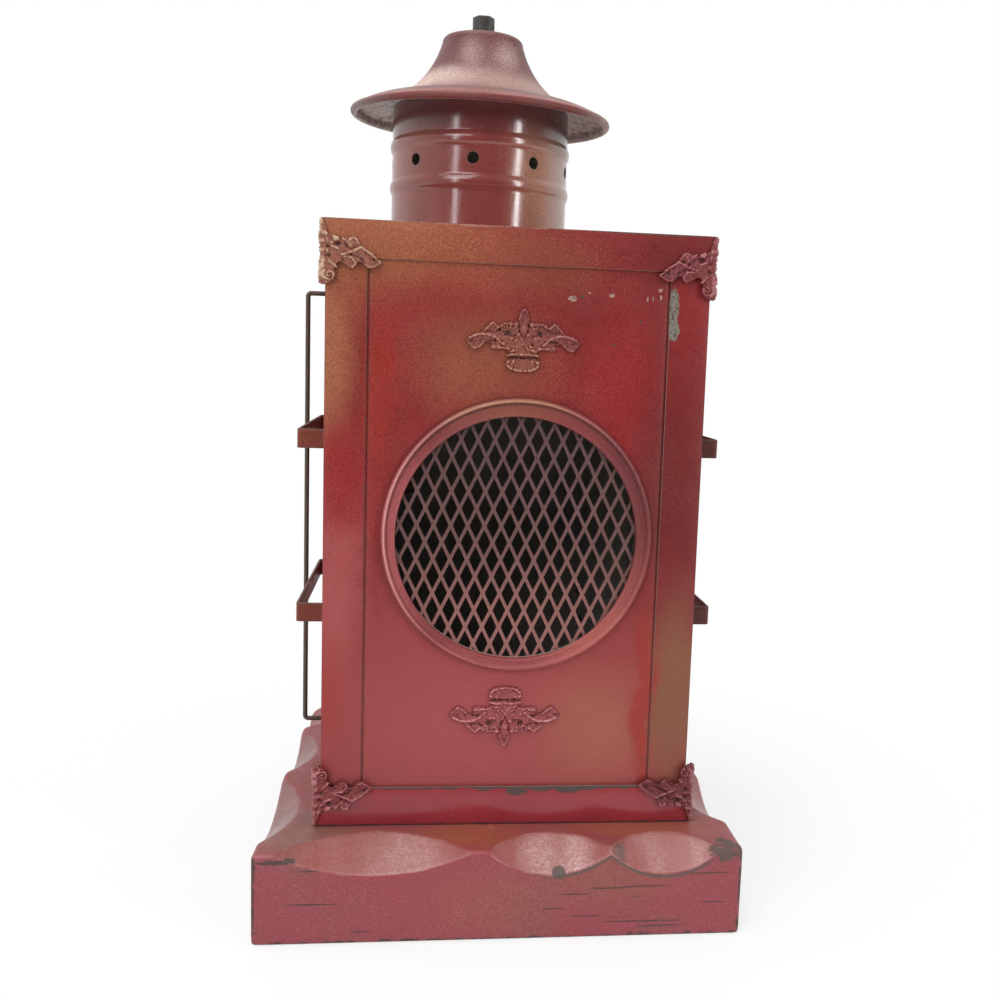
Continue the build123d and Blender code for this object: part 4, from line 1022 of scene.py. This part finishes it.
def buildMesh():
    low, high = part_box("mesh_disc")
    middle = (low + high) / 2
    front = low.y
    bm = bmesh.new()
    halfWidth, depth = meshLook["strand"] / 2, meshLook["thick"]
    # across the strand and back from the window's face: two soft ribs with a shallow line between
    shape = [(-1, 0.62), (-1, 0.3), (-0.72, 0.06), (-0.3, 0.04), (0, 0.2), (0.3, 0.04), (0.72, 0.06),
             (1, 0.3), (1, 0.62), (0.5, depth), (-0.5, depth)]
    section = [(halfWidth * across, back) for across, back in shape]
    radius, trim = meshLook["radius"], meshLook["trim"]
    stepX, stepZ = meshLook["across"] / 2, meshLook["up"] / 2
    shift = Vector((meshLook["shift"][0], 0, meshLook["shift"][1]))
    count = int(radius / min(stepX, stepZ)) + 2

    def inFrame(x, back, z):
        spot = Vector((middle.x + x * mm, front + back * mm, middle.z + z * mm))
        return bm.verts.new(spot + waver(spot))

    for column in range(-count, count):
        for row in range(-count, count):
            if (column + row) % 2 == 0:
                continue
            for side in (-1, 1):
                start = Vector((column * stepX, 0, row * stepZ)) + shift
                end = Vector(((column + side) * stepX, 0, (row + 1) * stepZ)) + shift
                if start.length > radius and end.length > radius:
                    continue
                along = (end - start).normalized()
                while start.length > radius:
                    start += along * trim
                while end.length > radius:
                    end -= along * trim
                if (end - start).length < meshLook["shortest"]:
                    continue
                sideways = Vector((along.z, 0, -along.x))
                rings = []
                for share in (-0.06, 0.12, 0.5, 0.88, 1.06):
                    centre = start.lerp(end, share)
                    slim = 1.0 - meshLook["slim"] * math.sin(math.pi * limit(share))
                    ring = []
                    for off, back in section:
                        point = centre + sideways * off * slim
                        ring.append(inFrame(point.x, back, point.z))
                    rings.append(ring)
                for first, second in zip(rings, rings[1:]):
                    bridge(bm, first, second)
                bm.faces.new(rings[0])
                bm.faces.new(rings[-1][::-1])
    # the rim that the bezel covers
    inner, outer = meshLook["ringInner"], meshLook["ringOuter"]
    loops = []
    for index in range(meshLook["ringSteps"]):
        around = 2 * math.pi * index / meshLook["ringSteps"]
        loop = []
        for reach, back in ((inner, 0.0), (outer, 0.0), (outer, depth), (inner, depth)):
            loop.append(inFrame(reach * math.cos(around), back, reach * math.sin(around)))
        loops.append(loop)
    for index, loop in enumerate(loops):
        bridge(bm, loop, loops[(index + 1) % len(loops)])
    bmesh.ops.recalc_face_normals(bm, faces=bm.faces[:])
    measureEdges(bm, None)
    finishPiece(bm, "mesh_disc", meshSteel, 30.0)


buildMesh()
print("window mesh woven")


def spiral(centre, outer, inner, turns, begin):
    points = []
    for index in range(17):
        share = index / 16
        reach = outer + (inner - outer) * share
        around = begin + turns * 2 * math.pi * share
        points.append((centre[0] + reach * math.cos(around), centre[1] + reach * math.sin(around)))
    return points


# Stamped leaf scrolls: a relief drawn in flat coordinates, then laid on the sheet
panelStamp = {
    "depth": 1.75,
    "outline": [
        (0, 23.75), (1.2, 22.6), (1.9, 20.4), (2.2, 18.8), (3.1, 18.5), (3.9, 18.2), (4.6, 18.6),
        (5.6, 18.3), (6.3, 18.1), (6.9, 18.5), (8.3, 17.8), (9.4, 17.0), (10.3, 18.0), (11.5, 18.6),
        (12.6, 18.1), (13.4, 16.8), (14.5, 15.9), (15.3, 14.8), (17.3, 14.1), (18.9, 13.8),
        (20.4, 12.3), (21.5, 11.4), (20.9, 10.2), (19.5, 9.2), (18.4, 7.7), (16.8, 8.1), (15.3, 9.2),
        (14.2, 10.3), (12.9, 10.5), (12.0, 10.1), (12.7, 8.6), (11.1, 7.9), (9.2, 7.9), (7.3, 8.3),
        (5.7, 7.7), (5.0, 7.0), (6.3, 6.4), (6.0, 5.5), (4.9, 5.2), (6.0, 4.5), (6.4, 3.5), (6.0, 1.8),
        (4.7, 0.7), (2.4, 0.1),
    ],
    "foot": (0, 0.0),
    "ridges": [
        ([(2.0, 19.2), (1.2, 21.8), (0, 23.3)], 0.3, 0.5),
        ([(9.8, 16.4), (11.4, 17.9), (12.9, 16.6), (14.3, 15.2)], 0.35, 0.5),
        ([(7.4, 10.1), (10.2, 12.6), (13.2, 13.7), (16.8, 13.5), (19.8, 12.2)], 0.4, 0.7),
        ([(5.2, 8.7), (8.6, 9.0), (11.6, 9.2)], 0.35, 0.45),
        ([(14.6, 10.6), (16.6, 9.0), (18.4, 8.4), (20.4, 10.3)], 0.3, 0.4),
        ([(0, 6.5), (3, 6.7), (6, 6.2)], 0.35, 0.5),
        ([(5.8, 4.0), (5.9, 2.4), (4.3, 1.0), (2.0, 0.5), (0, 0.4)], 0.4, 0.3),
        ([(0.0, 11.4), (1.6, 14.0), (4.4, 12.4), (5.8, 12.6)], 0.3, 0.45),
        ([(0.0, 10.6), (2.0, 8.4), (4.6, 7.6)], 0.3, 0.4),
        (spiral((4.3, 17.0), 1.35, 0.3, 1.3, 1.6), 0.26, 0.6),
        (spiral((7.5, 16.5), 1.4, 0.3, 1.3, 1.6), 0.26, 0.6),
    ],
    "grooves": [
        ([(0, 11.9), (1.6, 15.0), (1.9, 18.4)], 0.3, 0.55),
        ([(8.0, 11.2), (11.0, 11.6), (13.2, 11.0)], 0.4, 0.55),
        ([(21.0, 11.3), (17.6, 10.9), (14.6, 11.8)], 0.25, 0.3),
        ([(0, 5.4), (3, 5.5), (5.6, 5.4)], 0.4, 0.8),
        ([(8.4, 15.8), (10.6, 14.6), (13.2, 15.0)], 0.35, 0.45),
    ],
    "beads": [
        (2.6, 17.6, 0.6, 0.5), (9.3, 16.4, 0.6, 0.45), (0, 16.2, 1.2, 0.35), (5.2, 3.8, 0.6, 0.5),
        (3.6, 4.0, 0.6, 0.5), (5.2, 2.3, 0.5, 0.5), (4.2, 1.5, 0.5, 0.5), (3.1, 1.1, 0.5, 0.45),
        (2.0, 1.2, 0.45, 0.45), (1.0, 0.9, 0.45, 0.4), (4.0, 2.9, 0.45, 0.4), (2.9, 2.2, 0.4, 0.4),
        (6.2, 10.9, 0.5, 0.4), (5.6, 17.9, 0.5, 0.5), (8.6, 17.2, 0.45, 0.5), (17.2, 11.6, 0.8, 0.3),
        (12.0, 15.6, 0.6, 0.3), (4.6, 9.4, 0.45, 0.4), (2.6, 9.4, 0.6, 0.45), (3.7, 8.2, 0.5, 0.4),
        (3.0, 11.6, 0.5, 0.4),
    ],
    "pits": [
        (6.0, 14.4, 1.5, 1.1), (3.6, 13.2, 0.9, 0.9), (3.4, 10.3, 0.6, 0.6), (14.0, 10.4, 0.8, 0.5),
        (18.4, 11.9, 1.2, 0.25),
    ],
}


cornerStamp = {
    "depth": 1.6, "plate": 1.6, "bend": 1.2, "tall": 25.6,
    # distance round the fold on the sheet, and distance down from the tip of the spear
    "outline": [
        (0, -0.1), (0.6, -1.0), (1.3, -3.2), (1.7, -5.0), (1.9, -5.9), (2.7, -6.6), (4.0, -6.6),
        (5.4, -7.2), (6.1, -8.0), (7.0, -7.4), (8.6, -7.5), (9.5, -7.0), (10.5, -6.8), (12.2, -7.4),
        (13.3, -9.4), (14.8, -10.9), (16.2, -12.1), (17.6, -13.0), (19.6, -15.2), (21.1, -16.5),
        (19.4, -17.9), (17.4, -19.0), (15.3, -18.6), (13.9, -17.3), (12.7, -16.4), (11.8, -18.1),
        (10.4, -19.2), (8.8, -18.6), (7.2, -17.4), (5.6, -16.8), (5.0, -17.8), (5.2, -19.0),
        (4.0, -19.6), (4.6, -20.7), (4.4, -22.3), (3.5, -24.0), (1.8, -25.2),
    ],
    "foot": (0, -25.55),
    "ridges": [
        ([(0, -0.4), (0, -3.0), (0, -6.0)], 0.5, 0.5),
        ([(6.9, -7.6), (8.7, -9.1), (10.4, -10.9)], 0.4, 0.55),
        ([(9.4, -8.4), (10.5, -7.3), (12.1, -7.9), (13.1, -9.8)], 0.35, 0.5),
        ([(6.8, -13.9), (10.0, -12.8), (13.5, -10.9), (17.4, -13.4), (20.5, -16.2)], 0.4, 0.7),
        ([(15.4, -16.4), (16.2, -18.3), (18.6, -18.0), (20.6, -16.5)], 0.3, 0.45),
        ([(7.6, -14.6), (10.2, -14.9), (11.6, -17.2), (10.6, -18.6)], 0.35, 0.55),
        ([(3.1, -10.7), (5.4, -11.7)], 0.45, 0.75),
        ([(2.5, -16.5), (4.8, -18.7)], 0.4, 0.6),
        (spiral((2.4, -21.7), 2.2, 0.5, 1.5, 2.4), 0.32, 0.6),
        ([(0.5, -16.4), (0.2, -19.5), (0.3, -22.4), (1.4, -24.5)], 0.45, 0.4),
        ([(1.2, -6.4), (1.6, -9.0), (3.4, -9.8)], 0.35, 0.45),
    ],
    "grooves": [
        ([(7.4, -12.9), (11.4, -14.0), (13.6, -15.4), (14.6, -17.8)], 0.4, 0.55),
        ([(15.0, -13.2), (17.4, -15.0), (20.4, -16.4)], 0.25, 0.3),
        ([(7.6, -9.6), (9.4, -11.6), (12.0, -10.6)], 0.35, 0.5),
    ],
    "beads": [
        (1.1, -6.0, 0.9, 0.5), (4.6, -7.7, 1.4, 0.75), (10.9, -8.7, 1.5, 0.25), (0, -8.9, 1.0, 0.4),
        (0, -12.4, 1.0, 0.4), (0, -15.6, 1.0, 0.4), (0, -18.6, 1.0, 0.4), (1.6, -12.7, 0.7, 0.4),
    ],
    "pits": [
        (5.0, -9.7, 1.3, 1.1), (1.8, -11.0, 0.9, 0.9), (1.8, -14.3, 1.0, 1.0), (4.7, -19.9, 0.7, 0.5),
        (17.6, -15.6, 1.2, 0.35), (7.0, -16.2, 0.9, 0.4),
    ],
}


def lineAway(u, v, points):
    best = 1e9
    for (au, av), (bu, bv) in zip(points, points[1:]):
        du, dv = bu - au, bv - av
        share = limit(((u - au) * du + (v - av) * dv) / (du * du + dv * dv))
        best = min(best, math.hypot(u - au - share * du, v - av - share * dv))
    return best


def bell(away, width):
    return math.exp(-((away / width) ** 2))


# Heights are shares of the stamp's depth, lengths are millimetres
reliefLook = {
    "plate": 0.26, "swell": 0.26, "swellOver": 0.7, "rim": 0.4, "rimAt": 0.4, "rimWidth": 0.24,
    "ridge": 1.2, "ridgeWidth": 0.85, "groove": 0.6, "pit": 0.55, "pitWidth": 0.8, "pitFlat": 1.25,
    "wave": 0.1, "waveLength": 1.5, "vein": 0.14, "coarse": 0.06, "fine": 0.07, "whole": 0.85, "least": 0.08,
}


def stampHeight(stamp, u, v, rimAway, seed):
    look = reliefLook
    side = abs(u)

    def cloudAt(scale, layer=0):
        return noise.noise(Vector((u * scale, v * scale, seed + layer)))

    height = look["plate"] + look["swell"] * (1 - math.exp(-rimAway / look["swellOver"]))
    height += look["rim"] * bell(rimAway - look["rimAt"], look["rimWidth"])
    uneven = look["ridge"] + look["ridge"] * cloudAt(0.9, 5)
    for points, width, tall in stamp["ridges"]:
        height += tall * uneven * bell(lineAway(side, v, points), width * look["ridgeWidth"])
    for points, width, deep in stamp["grooves"]:
        height -= deep * look["groove"] * bell(lineAway(side, v, points), width)
    for bu, bv, reach, tall in stamp["beads"]:
        away = math.hypot(side - bu, v - bv) / reach
        if away < 1:
            height += tall * math.sqrt(1 - away * away)
    for bu, bv, reach, deep in stamp["pits"]:
        away = math.hypot(side - bu, (v - bv) * look["pitFlat"])
        height -= deep * look["pit"] * bell(away, reach * look["pitWidth"])
    phase = (side * 0.75 + v * 0.4 + cloudAt(0.2, 9) * 2) / look["waveLength"]
    height += look["wave"] * math.sin(math.pi * 2 * phase) * min(1.0, rimAway / 1.2)
    vein = max(0.0, 1.0 - 6.0 * abs(cloudAt(0.55)))
    height += look["vein"] * vein * min(1.0, rimAway)
    height += look["coarse"] * cloudAt(1.1) + look["fine"] * cloudAt(3.1)
    return max(look["least"], min(1.0, height * look["whole"]))


def leafEdge(points, lobe=0.3, lobeLength=1.9, steps=8):
    # a curve through the points, with small lobes like those of a leaf
    last = len(points) - 1
    curve = []
    for index in range(last):
        near = (Vector(points[max(0, min(last, index + step))]) for step in (-1, 0, 1, 2))
        before, start, end, after = near
        for step in range(steps):
            t = step / steps
            spot = 0.5 * (2 * start + (end - before) * t + (2 * before - 5 * start + 4 * end - after) * t * t
                          + (3 * start - before - 3 * end + after) * t ** 3)
            curve.append(spot)
    lobed = [tuple(curve[0])]
    gone = 0.0
    for index in range(1, len(curve) - 1):
        along = curve[index + 1] - curve[index - 1]
        gone += (curve[index] - curve[index - 1]).length
        inward = Vector((along.y, -along.x)).normalized() if along.length > 1e-6 else Vector((0, 0))
        spot = curve[index] + inward * lobe * (1 - abs(math.sin(math.pi * gone / lobeLength)))
        lobed.append((max(0.02, spot.x), spot.y))
    return lobed


def buildStamp(nodeName, stamp, lay, seed, cell=0.27, rimSteps=6):
    half = leafEdge(stamp["outline"] + [stamp["foot"]])
    points = half + [stamp["foot"]] + [(-u, v) for u, v in reversed(half) if u > 0]
    bm = bmesh.new()
    bm.faces.new([bm.verts.new((u, v, 0)) for u, v in points])
    cutGrid(bm, 0, cell)
    cutGrid(bm, 1, cell)
    rim = kdtree.KDTree(len(points) * rimSteps)
    for index, (startU, startV) in enumerate(points):
        endU, endV = points[(index + 1) % len(points)]
        for step in range(rimSteps):
            share = step / rimSteps
            spot = (startU + (endU - startU) * share, startV + (endV - startV) * share, 0)
            rim.insert(spot, index * rimSteps + step)
    rim.balance()
    reliefLayer = bm.verts.layers.float.new("relief")
    heights = {}
    for vert in bm.verts:
        heights[vert] = stampHeight(stamp, vert.co.x, vert.co.y, rim.find(vert.co)[2], seed)
        vert[reliefLayer] = heights[vert]
    for vert, height in heights.items():
        vert.co.z = height * stamp["depth"]
    border = [edge for edge in bm.edges if edge.is_boundary]
    grown = bmesh.ops.extrude_edge_only(bm, edges=border)["geom"]
    for item in grown:
        if isinstance(item, bmesh.types.BMVert):
            item.co.z = 0.02
            item[reliefLayer] = 0.0
    bmesh.ops.holes_fill(bm, edges=[edge for edge in bm.edges if edge.is_boundary], sides=0)
    for vert in bm.verts:
        spot = lay(vert.co.x, vert.co.y, vert.co.z)
        vert.co = spot + waver(spot)
    bmesh.ops.recalc_face_normals(bm, faces=bm.faces[:])
    finishPiece(bm, nodeName, ornamentMetal, 55.0)


def layFlat(nodeName, up):
    low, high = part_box(nodeName)
    middleX = (low.x + high.x) / 2
    footZ = low.z if up > 0 else high.z
    backY = high.y
    return lambda u, v, out: Vector((middleX + u * mm, backY - out * mm, footZ + up * v * mm))


def layRound(nodeName, side, up):
    low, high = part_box(nodeName)
    plate, bend = cornerStamp["plate"] * mm, cornerStamp["bend"] * mm
    cornerX = (high.x - plate) if side > 0 else (low.x + plate)
    cornerY = low.y + plate
    tipZ = high.z if up > 0 else low.z
    stretch = (high.z - low.z) / (cornerStamp["tall"] * mm)
    quarter = bend * math.pi / 4
    centreX = cornerX - side * bend
    centreY = cornerY + bend

    def lay(s, v, out):
        away = s * mm
        z = tipZ + up * v * stretch * mm
        if away > quarter:
            return Vector((centreX - side * (away - quarter), cornerY - out * mm, z))
        if away < -quarter:
            return Vector((cornerX + side * out * mm, centreY + (-away - quarter), z))
        around = (away / quarter + 1) * math.pi / 4
        reach = bend + out * mm
        return Vector((centreX + side * reach * math.cos(around), centreY - reach * math.sin(around), z))

    return lay


buildStamp("upper_ornament", panelStamp, layFlat("upper_ornament", 1), 1.0)
buildStamp("lower_ornament", panelStamp, layFlat("lower_ornament", -1), 2.0)
corners = (("top_left_ornament", -1, 1), ("top_right_ornament", 1, 1),
           ("bottom_left_ornament", -1, -1), ("bottom_right_ornament", 1, -1))
for seed, (cornerName, side, up) in enumerate(corners):
    buildStamp(cornerName, cornerStamp, layRound(cornerName, side, up), 3.0 + seed)
print("ornaments stamped")


# Floor, backdrop light and lamps
floorLook = {
    "left": -1.6, "right": 1.6, "front": -0.62, "back": 1.8, "drop": -0.0001,
    "shadowShare": 0.3, "shadowNear": 0.1, "shadowFar": 0.3,
}


def buildStage():
    mesh = bpy.data.meshes.new("floor")
    look = floorLook
    corners = [(look["left"], look["front"], look["drop"]), (look["right"], look["front"], look["drop"]),
               (look["right"], look["back"], look["drop"]), (look["left"], look["back"], look["drop"])]
    mesh.from_pydata(corners, [], [(0, 1, 2, 3)])
    floor = bpy.data.objects.new("floor", mesh)
    scene.collection.objects.link(floor)
    material = bpy.data.materials.new("paleFloor")
    material.use_nodes = True
    tree = material.node_tree
    tree.nodes.clear()
    path = addNode(tree, "ShaderNodeLightPath").outputs
    bounced = larger(tree, path["Is Glossy Ray"], path["Is Transmission Ray"])
    seen = larger(tree, path["Is Camera Ray"], bounced)
    matt = addNode(tree, "ShaderNodeBsdfDiffuse", {"Color": (0.86, 0.86, 0.86, 1)})
    white = addNode(tree, "ShaderNodeEmission", {"Color": (1, 1, 1, 1), "Strength": 1.0})
    # the shadow shows close to the lantern, and the floor is plain white further out
    away = vecCalc(tree, "LENGTH", frameCoords(tree), output="Value")
    plain = ramp(tree, away, look["shadowNear"], look["shadowFar"], 1.0 - look["shadowShare"], 1.0)
    share = times(tree, seen, plain)
    both = addNode(tree, "ShaderNodeMixShader", {0: share, 1: matt.outputs[0], 2: white.outputs[0]})
    result = addNode(tree, "ShaderNodeOutputMaterial")
    tree.links.new(both.outputs[0], result.inputs["Surface"])
    mesh.materials.append(material)

    world = bpy.data.worlds.new("studio")
    scene.world = world
    world.use_nodes = True
    tree = world.node_tree
    tree.nodes.clear()
    path = addNode(tree, "ShaderNodeLightPath").outputs
    direction = addNode(tree, "ShaderNodeTexCoord").outputs["Generated"]
    aim = addNode(tree, "ShaderNodeSeparateXYZ", {0: direction}).outputs
    behind = ramp(tree, aim["Y"], -0.25, 0.45)
    above = ramp(tree, aim["Z"], -0.1, 0.9, 0.0, 0.35)
    room = mixColour(tree, behind, (0.1, 0.1, 0.105), (0.8, 0.8, 0.8))
    room = mixColour(tree, above, room, (0.9, 0.9, 0.9))
    room = mixColour(tree, ramp(tree, aim["X"], -0.5, -0.98), room, (0.68, 0.68, 0.7))
    bounced = larger(tree, path["Is Glossy Ray"], path["Is Transmission Ray"])
    behindSeen = times(tree, behind, bounced)
    room = mixColour(tree, larger(tree, path["Is Camera Ray"], behindSeen), room, (1, 1, 1))
    background = addNode(tree, "ShaderNodeBackground", {"Color": room, "Strength": 1.0})
    result = addNode(tree, "ShaderNodeOutputWorld")
    tree.links.new(background.outputs[0], result.inputs["Surface"])


buildStage()

lamps = [
    {"name": "keySoft", "place": (-0.75, -1.2, 1.15), "size": (0.9, 0.9), "power": 7.5},
    {"name": "stripLeft", "place": (-0.62, -0.91, 0.42), "size": (0.1, 0.9), "power": 1.6},
    {"name": "stripRight", "place": (0.798, -0.747, 0.42), "size": (0.1, 0.9), "power": 4.0},
    {"name": "topSoft", "place": (-0.25, -0.3, 1.5), "size": (1.0, 1.0), "power": 12.0},
]
lampTarget = Vector((0, 0, 0.18))
for lamp in lamps:
    lampData = bpy.data.lights.new(lamp["name"], "AREA")
    lampData.shape = "RECTANGLE"
    lampData.size, lampData.size_y = lamp["size"]
    lampData.energy = lamp["power"]
    lampObject = bpy.data.objects.new(lamp["name"], lampData)
    toward = (lampTarget - Vector(lamp["place"])).to_track_quat("-Z", "Y")
    lampObject.matrix_world = Matrix.Translation(lamp["place"]) @ toward.to_matrix().to_4x4()
    lampObject.visible_camera = False
    scene.collection.objects.link(lampObject)
print("stage lit")
